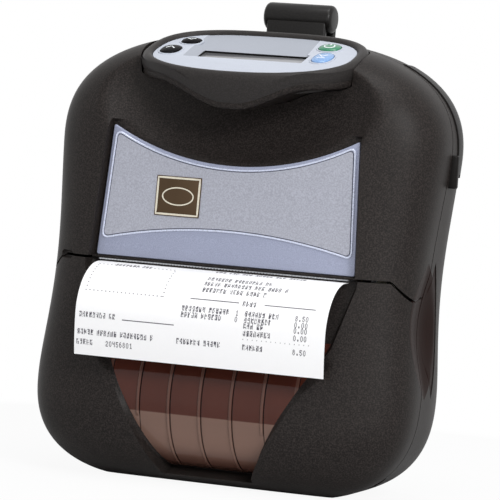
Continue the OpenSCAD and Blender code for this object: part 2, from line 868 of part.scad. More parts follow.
// Places its children in the print head's frame: x along the paper away from the platen, y off the paper
module at_head() {
    n = [cos(path_a), sin(path_a)];
    lift = platen_r + paper_gap + paper_t;
    translate([0, -platen_y + lift * n[0], platen_z + lift * n[1]]) rotate([path_a - 90, 0, 0]) children();
}

module print_head() {
    color([0.85, 0.82, 0.75]) at_head() translate([-roll_half - 1, -3, head_lift])
        cube([2 * roll_half + 2, head_l + 3, head_t]);
}

module head_bracket() {
    color([0.35, 0.35, 0.37]) at_head() difference() {
        translate([-frame_x + 0.4, -2, head_lift + head_t]) cube([2 * frame_x - 0.8, head_l + 1, bracket_t]);
        for (i = [-4 : 4]) translate([i * 10 - 3, -3, head_lift + head_t + 1.2]) cube([2, head_l + 4, 4]);
    }
}

module head_springs() {
    color([0.75, 0.76, 0.78]) at_head() for (s = [-1, 1])
        translate([s * 35, 6, head_lift + head_t + bracket_t]) coil(2.6, 0.7, 5, spring_l);
}

module print_frame() {
    crown = head_lift + head_t + bracket_t + spring_l;
    color([0.55, 0.57, 0.6]) {
        difference() {
            union() {
                for (s = [-1, 1]) let (top = s > 0 ? motor_z + 7 : battery_z - bay_gap - bay_t - 0.5)
                    translate([s * (frame_x + frame_t / 2), 0, 0]) along_x(frame_t)
                    polygon([[-platen_y + 5.5, platen_z - 9], [back_y - wall - 1.5, platen_z - 9],
                        [back_y - wall - 1.5, platen_z - 1], [motor_y + 10, platen_z + 4],
                        [motor_y + 10, top], [motor_y - 8, top], [-platen_y + 5.5, platen_z + 9]]);
                along_x_from(frame_x, frame_t) polygon([[latch_y - 5, latch_z - 7.5],
                    [latch_y + 5, latch_z - 7.5], [latch_y + 5, latch_z + 4], [latch_y - 5, latch_z + 4]]);
                x_rod(3, frame_x + frame_t - e, latch_seat_x, latch_y, latch_guide_z);
                x_rod(1.4, latch_seat_x - e, latch_stem_x - latch_travel - 0.3, latch_y, latch_guide_z);
            }
            x_rod(idler_pin_r + e, frame_x - 1, frame_x + 5, idler_y, idler_z);
            x_rod(motor_shaft_r + 1, frame_x - 1, frame_x + 5, motor_y, motor_z);
        }
        at_head() translate([-frame_x - e, 1, crown]) cube([2 * frame_x + 2 * e, 10, 1.5]);
    }
}

module media_sensor() {
    bar_y = -8;
    bar_z = 71;
    color([0.2, 0.3, 0.25]) {
        translate([-frame_x + 0.1, bar_y - 2, bar_z]) cube([2 * frame_x - 0.2, 4, 2]);
        translate([-6, bar_y - 3.5, bar_z - 1]) cube([12, 7, 4]);
    }
}

module stepper_motor() {
    color([0.6, 0.61, 0.63]) difference() {
        x_rod(motor_d / 2, frame_x - motor_l, frame_x - 0.05, motor_y, motor_z);
        x_rod(motor_shaft_r + pin_fit, frame_x - 6, frame_x + 1, motor_y, motor_z);
    }
}

module motor_pinion() {
    color([0.8, 0.7, 0.35]) {
        translate([gear_x, motor_y, motor_z]) rotate([90, 0, 90])
            rotate(pinion_a + 180 + 180 / pinion_teeth
                + (pinion_a - idler_a - 180 - 180 / idler_teeth) * idler_teeth / pinion_teeth)
                spur(pinion_teeth, 0);
        x_rod(motor_shaft_r, frame_x - 5, gear_end + 0.5, motor_y, motor_z);
    }
}

module idler_gear() {
    color([0.9, 0.88, 0.8]) translate([gear_x, idler_y, idler_z]) rotate([90, 0, 90])
        rotate(idler_a + 180 + 180 / idler_teeth) spur(idler_teeth, idler_pin_r + pin_fit);
}

module idler_pin() {
    color([0.75, 0.76, 0.78]) {
        x_rod(idler_pin_r, frame_x + 0.05, gear_end + 0.4, idler_y, idler_z);
        x_rod(idler_pin_r + 1.2, gear_end + 0.3, gear_end + pin_head, idler_y, idler_z);
    }
}

// Cover hinge and latch

module hinge_bracket() {
    color([0.6, 0.6, 0.62]) difference() {
        union() for (s = bracket_spans) {
            x_rod(knuckle_r, s[0], s[1], hinge_y, hinge_z);
            along_x_from(s[0], s[1] - s[0]) polygon([[hinge_y, hinge_z],
                [hinge_y, hinge_z + knuckle_r - 0.1], [hinge_y + 11, hinge_z + knuckle_r - 0.1],
                [hinge_y + 15, wall + 1.6], [hinge_y + 20, wall + 1.6],
                [hinge_y + 20, wall + 0.1], [hinge_y + 9.5, wall + 0.1], [hinge_y + 9.5, hinge_z]]);
        }
        x_rod(hinge_pin_r + pin_fit, -hinge_half, hinge_half, hinge_y, hinge_z);
    }
}

module hinge_leaf() {
    color([0.6, 0.6, 0.62]) difference() {
        for (s = leaf_spans) {
            x_rod(knuckle_r, s[0], s[1], hinge_y, hinge_z);
            along_x_from(s[0], s[1] - s[0]) polygon([[hinge_y, hinge_z - 0.6],
                [hinge_y, hinge_z + knuckle_r], [hinge_y - 12, hinge_z + 4.3],
                [hinge_y - 12, hinge_z + 2], [hinge_y - 3.2, hinge_z - 0.6]]);
        }
        x_rod(hinge_pin_r + pin_fit, -hinge_half, hinge_half, hinge_y, hinge_z);
    }
}

module hinge_pin() {
    color([0.75, 0.76, 0.78]) x_rod(hinge_pin_r, -hinge_half + 0.4, hinge_half - 0.4, hinge_y, hinge_z);
}

module hinge_spring() {
    color([0.75, 0.76, 0.78]) translate([bracket_spans[1][1] + 1, hinge_y, hinge_z]) rotate([0, 90, 0])
        coil(2.3, 0.7, 9, leaf_spans[1][0] - bracket_spans[1][1] - 2);
}

// The push button in the housing's side, its hook and the cover's catch

module latch_button() {
    color([0.13, 0.13, 0.13]) {
        translate([latch_face_x - latch_button_t, latch_y, latch_z]) rotate([90, 0, 90])
            linear_extrude(latch_button_t) pointed_oval(latch_w, latch_h);
        translate([latch_stem_x, latch_y - 4, latch_z - 8])
            cube([latch_face_x - latch_button_t - latch_stem_x + e, 8, 16]);
    }
}

module latch_hook() {
    color([0.6, 0.6, 0.62]) {
        translate([hook_x, latch_y - 14, latch_z + 1]) cube([hook_t, 18, 6]);
        translate([hook_x, latch_y - 4, latch_z - 1]) cube([hook_t, 8, 9]);
    }
}

module cover_catch() {
    x0 = latch_stem_x + 0.2;
    x1 = half_w(latch_z + catch_h) - wall - 0.6;
    color([0.6, 0.6, 0.62]) translate([x0, latch_y - 15.5, latch_z]) cube([x1 - x0, 4, catch_h]);
}

module latch_spring() {
    start = latch_seat_x + latch_travel + 0.3;
    color([0.75, 0.76, 0.78]) translate([start, latch_y, latch_guide_z]) rotate([0, 90, 0])
        coil(2.2, 0.6, 5, latch_stem_x - 0.1 - start);
}

// Battery, electronics and belt clip

module battery_key_room(gap) {
    translate([-body_w / 2 - 5, battery_key_y - 3 - gap, battery_key_z - 6 - gap])
        cube([5 + battery_key_t + gap, 6 + 2 * gap, 12 + 2 * gap]);
}

module battery_pack() {
    color([0.16, 0.16, 0.17]) difference() {
        union() {
            translate([battery_end_x, battery_y, battery_z]) linear_extrude(battery_h)
                polygon([[0, 0], [battery_l, 0], [battery_l, battery_t], [battery_bevel, battery_t],
                    [0, battery_t - battery_bevel]]);
            intersection() {
                difference() {
                    body_form(0, battery_z - 1, battery_z + battery_h + 1, 4);
                    body_form(wall, battery_z - 2, battery_z + battery_h + 2, 4);
                }
                battery_room(0);
            }
            translate([battery_end_x - 9.5, battery_y + 3, battery_z + 6]) cube([10, 7, 27]);
        }
        battery_key_room(0.2);
        translate([battery_key_travel + 1, 0, 0]) battery_key_room(0.2);
    }
}

module battery_latch() {
    color([0.12, 0.12, 0.12]) translate([0.7, 0, 0]) intersection() {
        body_form(-1.5, battery_key_z - 7, battery_key_z + 7, 2);
        battery_key_room(0);
    }
}

module battery_bay() {
    x0 = battery_end_x + 5.5;
    y0 = battery_y - bay_gap;
    z0 = battery_z - bay_gap;
    tall = battery_h + 2 * bay_gap;
    deep = battery_t + 2 * bay_gap;
    color([0.3, 0.3, 0.32]) {
        difference() {
            translate([x0, y0 - bay_t, z0 - bay_t])
                cube([battery_l - 5.5 + bay_gap + bay_t, deep + 2 * bay_t, tall + 2 * bay_t]);
            translate([x0 - 1, y0, z0]) cube([battery_l - 4.5 + bay_gap, deep, tall]);
        }
        for (x = [battery_end_x + 20, battery_x - 10]) translate([x, y0 + deep + bay_t - e, z0 + 4])
            cube([4, back_y - wall - 0.15 - y0 - deep - bay_t, tall - 8]);
        for (x = [-38, -10], z = [battery_z + 22, battery_z + battery_h - 5])
            translate([x, y0 - bay_t + e, z]) rotate([90, 0, 0]) cylinder(h = board_gap, r = 2);
    }
}

module main_board() {
    color([0.1, 0.35, 0.2]) {
        translate([board_x, main_board_y, main_board_z]) cube([board_w, main_board_t, board_h]);
        // Each chip's place from the board's corner, its width, height and thickness
        for (c = [[14, 11, 16, 16, 1.8], [44, 13, 10, 14, 1.4], [58, 3, 10, 6, 4]])
            translate([board_x + c[0], main_board_y - c[4], main_board_z + c[1]])
                cube([c[2], c[4] + e, c[3]]);
    }
}

// Places its children on the shoulder at a height, x pointing outwards
module on_shoulder(z, turn) {
    translate([half_w(z), (port_y0 + port_y1) / 2, z]) rotate([0, -turn, 0]) children();
}

module connector_room(gap) {
    on_shoulder(port_low + 33, 37) translate([-15.6, -3.5 - gap, -6 - gap])
        cube([10.1, 7 + 2 * gap, 12 + 2 * gap]);
    on_shoulder(port_low + 15, 14) translate([-15, 0, 0]) rotate([0, 90, 0])
        cylinder(h = 10.1, r = 3.6 + gap);
}

module port_connectors() color([0.1, 0.1, 0.11]) connector_room(0);

module port_panel() {
    color([0.2, 0.2, 0.21]) difference() {
        intersection() {
            body_form(wall + 0.3, port_low - 4, body_h, 8);
            port_room(1.6);
        }
        body_form(wall + 1.75, port_low - 5, body_h, 8);
        connector_room(0.1);
    }
}

module port_cover() {
    color([0.14, 0.13, 0.13]) intersection() {
        difference() {
            body_form(0, port_low - 1, body_h, 8);
            body_form(port_t, port_low - 2, body_h, 8);
        }
        port_room(0);
    }
}

module strap_lugs() {
    y0 = contour(lug_z + lug_h) + 0.2;
    side = half_w(lug_z + lug_h / 2) + lug_out / 2;
    color([0.15, 0.15, 0.15]) difference() {
        for (s = [-1, 1]) translate([s * (side - 1), y0 + lug_w / 2, lug_z])
            linear_extrude(lug_h) oblong(lug_out + 2, lug_w);
        body_form(-0.25, lug_z - 2, lug_z + lug_h + 2, 2);
        for (s = [-1, 1]) translate([s * (side + 0.1), y0 + lug_w / 2, lug_z - 1])
            cylinder(h = lug_h + 2, r = 0.7);
    }
}

module belt_clip() {
    y0 = back_y + 0.5;
    y1 = clip_roll_y - clip_r;
    y2 = clip_roll_y + clip_r;
    color([0.22, 0.21, 0.2]) {
        x_rod(clip_r, -clip_w / 2, clip_w / 2, clip_roll_y, clip_roll_z);
        translate([0, y0, clip_post_z]) rotate([-90, 0, 0]) cylinder(h = 2, r = clip_disc_r);
        translate([0, y0 + e, clip_post_z]) rotate([90, 0, 0]) cylinder(h = wall + 2.4, r = clip_post_r);
        translate([0, y0 - wall - 0.9, clip_post_z]) rotate([90, 0, 0])
            cylinder(h = 1.5, r = clip_post_r + 1.6);
        along_x(clip_w - 4) polygon([[y0, clip_post_z], [y0 + clip_t, clip_post_z],
            [y1 + clip_t + 1, clip_roll_z], [y1 + 0.3, clip_roll_z]]);
        along_x(clip_w - 2) polygon([[y2 - clip_t, clip_roll_z], [y2, clip_roll_z],
            [y2 - 1, clip_bend_z], [y2 - 3, clip_foot_z], [y2 - 3 - clip_t, clip_foot_z],
            [y2 - 1 - clip_t, clip_bend_z]]);
    }
}

module clip_bush() {
    color([0.5, 0.5, 0.52]) translate([0, back_y + 0.3, clip_post_z]) rotate([90, 0, 0]) difference() {
        cylinder(h = wall + 0.5, r = clip_post_r + 2.1);
        translate([0, 0, -1]) cylinder(h = wall + 4, r = clip_post_r + pin_fit);
    }
}

module housing_screws() {
    color([0.2, 0.2, 0.2]) for (s = screw_spots) translate([s[0], back_y - 0.1, s[1]])
        rotate([90, 0, 0]) {
        cylinder(h = 1, r = screw_head_r);
        cylinder(h = 7, r = screw_r);
    }
}

rear_housing();
front_housing();
media_cover();
media_window();
display_bezel();
display_fascia();
lcd_window();
lcd_module();
keypad_board();
power_key();
feed_key();
menu_key();
select_key();
label_panel();
label_overlay();
badge_plate();
tear_bar();
receipt();
paper_web();
media_roll();
roll_core();
roll_support_left();
roll_support_right();
support_rail();
platen_roller();
platen_shaft();
platen_gear();
platen_bushes();
platen_carrier();
print_head();
head_bracket();
head_springs();
print_frame();
stepper_motor();
motor_pinion();
idler_gear();
idler_pin();
media_sensor();
hinge_bracket();
hinge_leaf();
hinge_pin();
hinge_spring();
cover_catch();
latch_button();
latch_hook();
latch_spring();
battery_pack();
battery_bay();
battery_latch();
main_board();
port_panel();
port_connectors();
port_cover();
strap_lugs();
belt_clip();
clip_bush();
housing_screws();
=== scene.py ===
"""Portable thermal printer: the looks of its pieces, built around the CAD model in the same frame."""

import json
import math

import bmesh
import bpy
import numpy as np
from mathutils import Matrix, Vector


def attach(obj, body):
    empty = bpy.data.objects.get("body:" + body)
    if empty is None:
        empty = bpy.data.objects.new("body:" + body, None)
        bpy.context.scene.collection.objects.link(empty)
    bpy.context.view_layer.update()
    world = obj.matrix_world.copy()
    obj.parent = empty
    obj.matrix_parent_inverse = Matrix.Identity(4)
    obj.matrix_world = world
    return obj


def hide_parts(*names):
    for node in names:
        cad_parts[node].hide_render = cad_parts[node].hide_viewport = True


bl_info = {
    "name": "Portable thermal printer",
    "version": (1, 0, 0),
    "blender": (4, 5, 0),
    "location": "View3D > Sidebar > Printer",
    "description": "Builds the visible pieces of a portable thermal printer around its CAD model",
    "category": "Object",
}

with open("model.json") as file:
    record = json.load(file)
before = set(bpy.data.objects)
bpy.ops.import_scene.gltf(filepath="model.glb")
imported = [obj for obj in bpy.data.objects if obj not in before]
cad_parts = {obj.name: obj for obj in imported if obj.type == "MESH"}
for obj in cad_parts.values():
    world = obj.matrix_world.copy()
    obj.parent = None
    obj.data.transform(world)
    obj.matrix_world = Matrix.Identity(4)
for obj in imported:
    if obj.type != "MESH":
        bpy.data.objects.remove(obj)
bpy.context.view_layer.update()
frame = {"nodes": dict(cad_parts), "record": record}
MM = 0.001
DOUBLES, FINE_DOUBLES = 0.00001, 0.000002

# ---------------------------------------------------------------- The body's form, in millimetres
# A name that ends in _N is the power of a rounded form: 2 is a circle, and more is squarer.

# The whole body, its wall and its seams
BODY_HALF, BACK_Y, MID_Z, OUT_H = 82, 31, 86, 92
TOP_Z, SLOT_Z, WALL, SEAM = 177.6, 85.3, 2.4, 0.6
# The leaning plane on which the shells part, and the line of the nose
PART_Y, PART_LEAN, CREST_Y, CREST_LEAN = -6.2, 0.139, -38, 0.11
NOSE_N, BACK_N, BACK_BULGE, BACK_EDGE_N = 3.2, 4, 3, 7
# The body's outline seen from the front: its waist, and where its head and hip begin to close, over what height
WAIST, WAIST_Z, WAIST_SPREAD = 4.8, 82.7, 47
HEAD_Z, HEAD_R, HEAD_N, HIP_Z, HIP_R, HIP_N = 131, 48.05, 2.56, 59, 61.5, 3.45
# The same for the chin and the shoulder seen from the side
CHIN_Z, CHIN_R, CHIN_N, SHOULDER_Z, SHOULDER_R, SHOULDER_N = 32, 31.5, 2, 148, 30.5, 2.5
# The scoop round the display, with its middle, half width, half height and depth
SCOOP_Y, SCOOP_Z, SCOOP_W, SCOOP_H, SCOOP_D, OUTSIDE_Y = -45, 158, 74, 39, 32, -70
# The label's bed: its floor, its half width at the foot, how much that narrows over what height, and its top
BED_Y, BED_Z, BED_LEAN, BED_HALF, BED_TAPER, BED_RISE, BED_TOP = -27.6, 87.8, 0.06116, 55.5, 2.95, 53.2, 141.1
# How far a recess's side wall drops for each millimetre outwards
STEEP, FACET_EASE, CHIN_STEEP = 12, 11.3, 4
# The cover: its foot, the height over which its rows follow the groove's corners, its top, and the groove above
COVER_FOOT, LEVEL_Z, COVER_TOP, GROOVE, GROOVE_Z, CORNER_X = 0.6, 58, 86.35, 1.05, 84.0, 69
# The channel's floor: round over the paper roll up to a height, then a leaning plane
BELLY_Y, BELLY_D, BELLY_Z, BELLY_R, BELLY_TOP, BROW_Y, BROW_LEAN = -16, 26.4, 35, 29, 49, -31, 0.208
# The channel's sides: a gap beside the window up to one height, then out to a half width over a second one
CHANNEL_GAP, CHANNEL_FOOT, CHANNEL_TURN, CHANNEL_RISE, CHANNEL_HALF = 1, 6, 60, 24, 56
# The channel's rounded outer edge, inwards and outwards of that line, and how far out the line is moved
CHANNEL_IN, CHANNEL_OUT, CHANNEL_OVER = 3, 8, 2
# The collar's wave: its level, its flat middle, the width and height of its rise, and its turned-up ends
WAVE_Z, WAVE_FLAT, WAVE_W, WAVE_H, WAVE_END_H, WAVE_END_X, WAVE_END_N = 149, 2, 31, 9.6, 4, 46, 10
# The display's outline: half its width, its depth to the front and to the rear
LENS_HALF, LENS_FRONT, LENS_REAR, LENS_FRONT_N, LENS_REAR_N = 41, 23, 25, 2.2, 3
# The window: its foot, top and thickness, its half width at the foot, and its rise for each millimetre of that
GLASS_FOOT, GLASS_TOP, GLASS_T, GLASS_FOOT_HALF, GLASS_SPREAD = 6.6, 62, 2, 17.6, 1.76
# The gentle facets beside it: their foot, and over what heights they begin and end
FACET_FOOT, FACET_FOOT_RISE, FACET_HEAD_RISE = 28, 10, 6
RIB_STEP, RIB_SHIFT = 13, -0.8
RIBS = [RIB_STEP * i + RIB_SHIFT for i in range(-2, 3)]
# Below this height the window is painted paler, as a painted reflection of the floor in this colour
SMOKE_SPLIT, SMOKE_REFLECTION = 28.7, (0.225, 0.135, 0.105)
# The display's and the label's own frames, and the label's width at its foot and head and its height
DISPLAY_Y, DISPLAY_Z, DISPLAY_TILT = -13.8, 170.5, math.radians(19.3)
LABEL_Y, LABEL_Z, LABEL_TILT = -29.2, 87.9, math.radians(3.5)
LABEL_W, LABEL_HEAD_W, LABEL_H = 109, 103.5, 52.5
# The badge's left edge and foot on the label, its width and its height
BADGE = (-31, 17.4, 19, 15.8)
# How far the display's pod reaches down from the fascia
POD_DEPTH = 16

# Each key's middle across and up the fascia, its width and its height
KEYS = ((27.2, 14.8, 9, 8), (28.9, 1.8, 8, 12), (-35, 0.5, 8, 10), (-31, 12.5, 8, 7))
KEY_N = 2.4
DIAL = [(1.9 * math.sin(math.radians(a)), 1.9 * math.cos(math.radians(a)) - 0.3) for a in range(40, 321, 20)]
# The lines of each key's mark: a power ring, a feed arrow over a bar, an arrow up and an arrow down
KEY_MARKS = (
    (DIAL, [(0, 0.4), (0, 1.4), (0, 2.3)]),
    ([(-1.8, 0.9), (-0.9, 0.1), (0, -0.7), (0.9, 0.1), (1.8, 0.9)], [(-1.7, -1.5), (0, -1.5), (1.7, -1.5)]),
    ([(-1.8, -0.7), (-0.9, 0.1), (0, 0.9), (0.9, 0.1), (1.8, -0.7)],),
    ([(-1.8, 0.7), (-0.9, -0.1), (0, -0.9), (0.9, -0.1), (1.8, 0.7)],),
)

# The platen and the paper roll; the paper, and its gap to the platen; the receipt's bend, foot and curl
PLATEN_Y, PLATEN_Z, PLATEN_R = -20, 79.3, 5.5
ROLL_Y, ROLL_Z, ROLL_R = -6, 39, 28.5
PAPER_W, PAPER_T, PAPER_GAP = 104, 0.3, 0.35
BEND_R, BEND_Y, RECEIPT_FOOT, RECEIPT_CURL = 19.5, -31.5, 49.3, 1.5

# The finger dish and its latch button, port door, cover hinge, battery, strap lugs, belt clip and screws
DISH_Y, DISH_Z, DISH_W, DISH_H, DISH_DEPTH, DISH_N = -8.6, 68, 27, 53, 3.2, 1.3
LATCH_W, LATCH_H = 11.8, 51.8
PORT_Y, PORT_X, PORT_Z = (8.1, 21.9), 55, 128
HINGE_Y, HINGE_Z = -17, 4.4
BATTERY_X, BATTERY_Y, BATTERY_Z, BATTERY_GAP = (-69, -3), (5.5, 24), (97, 146), 0.3
LUG_Y, LUG_Z, LUG_W, LUG_D = 3.1, (124, 137), 7.4, 3.8
CLIP_Y, CLIP_Z, CLIP_R, CLIP_W, POST_Z = 38, 187.8, 5.75, 29.5, 158
SCREW_SPOTS = [(side * x, z) for x, z in ((40, 19), (50, 84), (38, 166)) for side in (-1, 1)]


def oval(t, n):
    """From 1 at a share of 0 down to 0 at 1, as a rounded form closes."""
    return (1 - np.clip(t, 0, 1) ** n) ** (1 / n)


def contour(z):
    """Where the plane on which the shells part lies."""
    return PART_Y + PART_LEAN * (z - SLOT_Z)


def crest(z):
    """Where the nose's line lies, before chin and shoulder close it."""
    return CREST_Y + CREST_LEAN * (z - SLOT_Z)


def half_w(z, off=0):
    """Half the body's width, off millimetres under its skin."""
    waist = WAIST * np.exp(-(((z - WAIST_Z) / WAIST_SPREAD) ** 2))
    head = oval((z - HEAD_Z) / (HEAD_R - off), HEAD_N)
    return (BODY_HALF - off) * head * oval((HIP_Z - z) / (HIP_R - off), HIP_N) - waist


def front_depth(z, off=0):
    """How far the body reaches before the parting plane at its middle."""
    chin = oval((CHIN_Z - z) / (CHIN_R - off), CHIN_N)
    shoulder = oval((z - SHOULDER_Z) / (SHOULDER_R - off), SHOULDER_N)
    return (contour(z) - crest(z) - off) * chin * shoulder


def back_depth(z, off=0):
    """How far the body would reach behind that plane without its flat back."""
    return (BACK_Y + BACK_BULGE - contour(z) - off) * oval(abs(z - MID_Z) / (OUT_H - off), BACK_EDGE_N)


def skin_y(x, z, off=0):
    """The body's front skin."""
    return contour(z) - front_depth(z, off) * oval(abs(x) / half_w(z, off), NOSE_N)


def deeper(a, b, k):
    """The surface that lies further back, with the crease between the two rounded."""
    return np.maximum(a, b) + np.maximum(k - abs(a - b), 0) ** 2 / (4 * k)


def scoop_y(x, z, off=0):
    """The scoop's surface, and a place before the whole body outside it."""
    inside = 1 - (x / (SCOOP_W + off)) ** 2 - ((z - SCOOP_Z) / (SCOOP_H + off)) ** 2
    return np.where(inside > 0, SCOOP_Y + (SCOOP_D + off) * np.sqrt(np.maximum(inside, 0)), OUTSIDE_Y)


def label_edge(z):
    """Half the width of the label's bed."""
    return BED_HALF - BED_TAPER * np.clip((z - LABEL_Z) / BED_RISE, 0, 1)


def label_floor_y(x, z, off=0):
    """The label's bed with its steep walls."""
    floor = BED_Y + BED_LEAN * (z - BED_Z) + off
    side, top = abs(x) - label_edge(z) - off, z - BED_TOP - off
    return floor - STEEP * np.maximum(side, 0) - STEEP * np.maximum(top, 0)


def glass_half(z):
    """Half the window's width."""
    return GLASS_FOOT_HALF + (z - GLASS_FOOT) / GLASS_SPREAD


def floor_y(x, z):
    """The floor of the cover's channel, in which the window lies."""
    curve = BELLY_Y - BELLY_D * oval(abs(BELLY_Z - z) / BELLY_R, 2)
    mid = np.where(z < BELLY_TOP, curve, BROW_Y - BROW_LEAN * (SLOT_Z - z))
    return contour(z) + (mid - contour(z)) * oval(abs(x) / half_w(z), NOSE_N)


def channel_edge(z):
    """Half the width of the channel's floor."""
    low = glass_half(np.clip(z, CHANNEL_FOOT, CHANNEL_TURN)) + CHANNEL_GAP
    return low + (CHANNEL_HALF - low) * np.clip((z - CHANNEL_TURN) / CHANNEL_RISE, 0, 1)


def channel_y(x, z, off=0):
    """The channel with its side walls, which are gentle facets beside the window, and its foot."""
    foot, head = (z - FACET_FOOT) / FACET_FOOT_RISE, (CHANNEL_TURN - z) / FACET_HEAD_RISE
    facet = np.clip(foot, 0, 1) * np.clip(head, 0, 1)
    slope = STEEP - FACET_EASE * facet
    chin = np.maximum(GLASS_FOOT + 0.2 - z, 0)
    side = np.maximum(abs(x) - channel_edge(z) - off, 0)
    return floor_y(x, np.maximum(z, GLASS_FOOT)) + off - slope * side - CHIN_STEEP * chin


def across(c, z, edge, off=0, inner=1.0, outer=1.5):
    """Distance from the middle plane for a share c.

    The share goes from 0 to 1 up to an edge, from 1 to 2 over it, and from 2 to 3 on to the parting plane.
    """
    w = half_w(z, off)
    e = np.minimum(edge, 0.8 * w)
    lo, hi = e - inner, e + outer
    turn = np.arccos(np.clip(hi / w, 0, 1) ** (NOSE_N / 2)) * np.clip(3 - c, 0, 1) ** 1.6
    return np.where(c < 1, c * lo, np.where(c < 2, lo + (c - 1) * (hi - lo), w * np.cos(turn) ** (2 / NOSE_N)))


def cover_across(c, z, off=0):
    """The same for the cover, whose edge is the channel's."""
    return across(c, z, channel_edge(z) + CHANNEL_OVER, off, CHANNEL_IN, CHANNEL_OUT)


def before_seam(c, x, y, z):
    """Keeps a front shell's points before the parting seam, with its outermost ones beside it."""
    y = np.where(np.abs(c) > 2.999, contour(z), y)
    return x * np.sign(c), np.minimum(y, contour(z) - SEAM / 2), z


def display_point(x, y, h):
    """A point on the display's tilted frame."""
    s, c = math.sin(DISPLAY_TILT), math.cos(DISPLAY_TILT)
    return x, DISPLAY_Y + y * c - h * s, DISPLAY_Z + y * s + h * c


def label_point(x, y, h):
    """A point on the label's tilted frame."""
    s, c = math.sin(LABEL_TILT), math.cos(LABEL_TILT)
    return x, LABEL_Y + y * s - h * c, LABEL_Z + y * c + h * s


def wave_z(x):
    """Height of the display pod's lower edge: a belly between two nearly level shoulders."""
    share = np.clip((abs(x) - WAVE_FLAT) / WAVE_W, 0, 1)
    return WAVE_Z + WAVE_H * share * share * (3 - 2 * share) + WAVE_END_H * (x / WAVE_END_X) ** WAVE_END_N


def lens(a, grow):
    """Point of the display's outline at an angle, grown by a distance."""
    n = np.where(np.sin(a) < 0, LENS_FRONT_N, LENS_REAR_N)
    depth = np.where(np.sin(a) < 0, LENS_FRONT, LENS_REAR) + grow
    c, s = np.cos(a), np.sin(a)
    return (LENS_HALF + grow) * np.sign(c) * abs(c) ** (2 / n), depth * np.sign(s) * abs(s) ** (2 / n)


# ---------------------------------------------------------------- Working tools


def only(obj):
    """Makes obj the one selected and active object."""
    bpy.ops.object.select_all(action="DESELECT")
    obj.select_set(True)
    bpy.context.view_layer.objects.active = obj
    return obj


def added(name):
    """Names the primitive that has just been added."""
    obj = bpy.context.active_object
    obj.name = obj.data.name = name
    return obj


def place_points(obj, points):
    """Sets all of a mesh's points, given in millimetres."""
    obj.data.vertices.foreach_set("co", (np.asarray(points, float) * MM).astype(np.float32).ravel())
    obj.data.update()


def sheet(name, cols, rows, place):
    """Grid primitive whose points are placed by their column and row."""
    bpy.ops.object.select_all(action="DESELECT")
    bpy.ops.mesh.primitive_grid_add(x_subdivisions=cols, y_subdivisions=rows, size=1)
    obj = added(name)
    co = np.zeros(len(obj.data.vertices) * 3, np.float32)
    obj.data.vertices.foreach_get("co", co)
    co = co.reshape(-1, 3).astype(float)
    i, j = (np.round((co[:, axis] + 0.5) * count).astype(int) for axis, count in ((0, cols), (1, rows)))
    x, y, z = place(i, j)
    place_points(obj, np.stack(np.broadcast_arrays(x, y, z), 1))
    return obj


def join(target, *others):
    """Joins meshes into the first one."""
    only(target)
    for other in others:
        other.select_set(True)
    bpy.ops.object.join()
    return target


class Editing:
    """Edit mode on one object, with nothing or the whole of it selected at first."""

    def __init__(self, obj, mode="FACE", whole=False):
        self.obj, self.mode, self.whole = obj, mode, whole

    def __enter__(self):
        only(self.obj)
        bpy.ops.object.mode_set(mode="EDIT")
        bpy.ops.mesh.select_mode(type=self.mode)
        bpy.ops.mesh.select_all(action="SELECT" if self.whole else "DESELECT")
        return self

    def __exit__(self, *error):
        bpy.ops.object.mode_set(mode="OBJECT")

    def pick(self, test):
        """Selects the faces for which test is true."""
        mesh = bmesh.from_edit_mesh(self.obj.data)
        for face in mesh.faces:
            if test(face):
                face.select_set(True)
        mesh.select_flush_mode()
        bmesh.update_edit_mesh(self.obj.data)


def modify(obj, kind, **settings):
    """Adds a modifier and applies it."""
    only(obj)
    mod = obj.modifiers.new("Shape", kind)
    for key, value in settings.items():
        setattr(mod, key, value)
    bpy.ops.object.modifier_apply(modifier=mod.name)
    return obj


def eased(obj, width, segments=3, angle=30):
    """Rounds a piece's edges that are sharper than an angle."""
    return modify(obj, "BEVEL", width=width * MM, segments=segments, limit_method="ANGLE",
                  angle_limit=math.radians(angle))


def cut(obj, *cutters):
    """Takes the cutters' room out of obj and removes the cutters."""
    for cutter in cutters:
        modify(obj, "BOOLEAN", operation="DIFFERENCE", solver="EXACT", material_mode="TRANSFER", object=cutter)
        bpy.data.objects.remove(cutter)
    return obj


def outward(obj):
    """Merges a piece's doubled points and turns its faces outwards."""
    with Editing(obj, "VERT", whole=True):
        bpy.ops.mesh.remove_doubles(threshold=DOUBLES)
        bpy.ops.mesh.normals_make_consistent(inside=False)
    return obj


def closed(outer, inner, rims, soften):
    """Closed shell from two sheets with the same layout, bridged rim by rim, with the rims' edges rounded."""
    with Editing(inner, whole=True):
        bpy.ops.mesh.flip_normals()
    for skin, within in ((outer, 0.0), (inner, 1.0)):
        side = skin.data.attributes.new("within", "FLOAT", "POINT")
        side.data.foreach_set("value", [within] * len(skin.data.vertices))
    obj = join(outer, inner)
    for _ in range(rims):
        with Editing(obj, "EDGE"):
            mesh = bmesh.from_edit_mesh(obj.data)
            for edge in nearest_pair(border_loops(mesh), mesh.verts.layers.float["within"]):
                edge.select_set(True)
            bmesh.update_edit_mesh(obj.data)
            bpy.ops.mesh.bridge_edge_loops()
            bpy.ops.mesh.select_mode(type="FACE")
            bpy.ops.mesh.region_to_loop()
            bpy.ops.mesh.bevel(offset=soften * MM, segments=3, affect="EDGES", clamp_overlap=True)
    obj.data.attributes.remove(obj.data.attributes["within"])
    return outward(obj)


def border_loops(mesh):
    """The open borders of a mesh, each as a list of its edges."""
    mesh.edges.ensure_lookup_table()
    open_edges = {e for e in mesh.edges if len(e.link_faces) == 1}
    loops = []
    while open_edges:
        todo, loop = [open_edges.pop()], []
        while todo:
            edge = todo.pop()
            loop.append(edge)
            for vert in edge.verts:
                for other in vert.link_edges:
                    if other in open_edges:
                        open_edges.discard(other)
                        todo.append(other)
        loops.append(loop)
    return loops


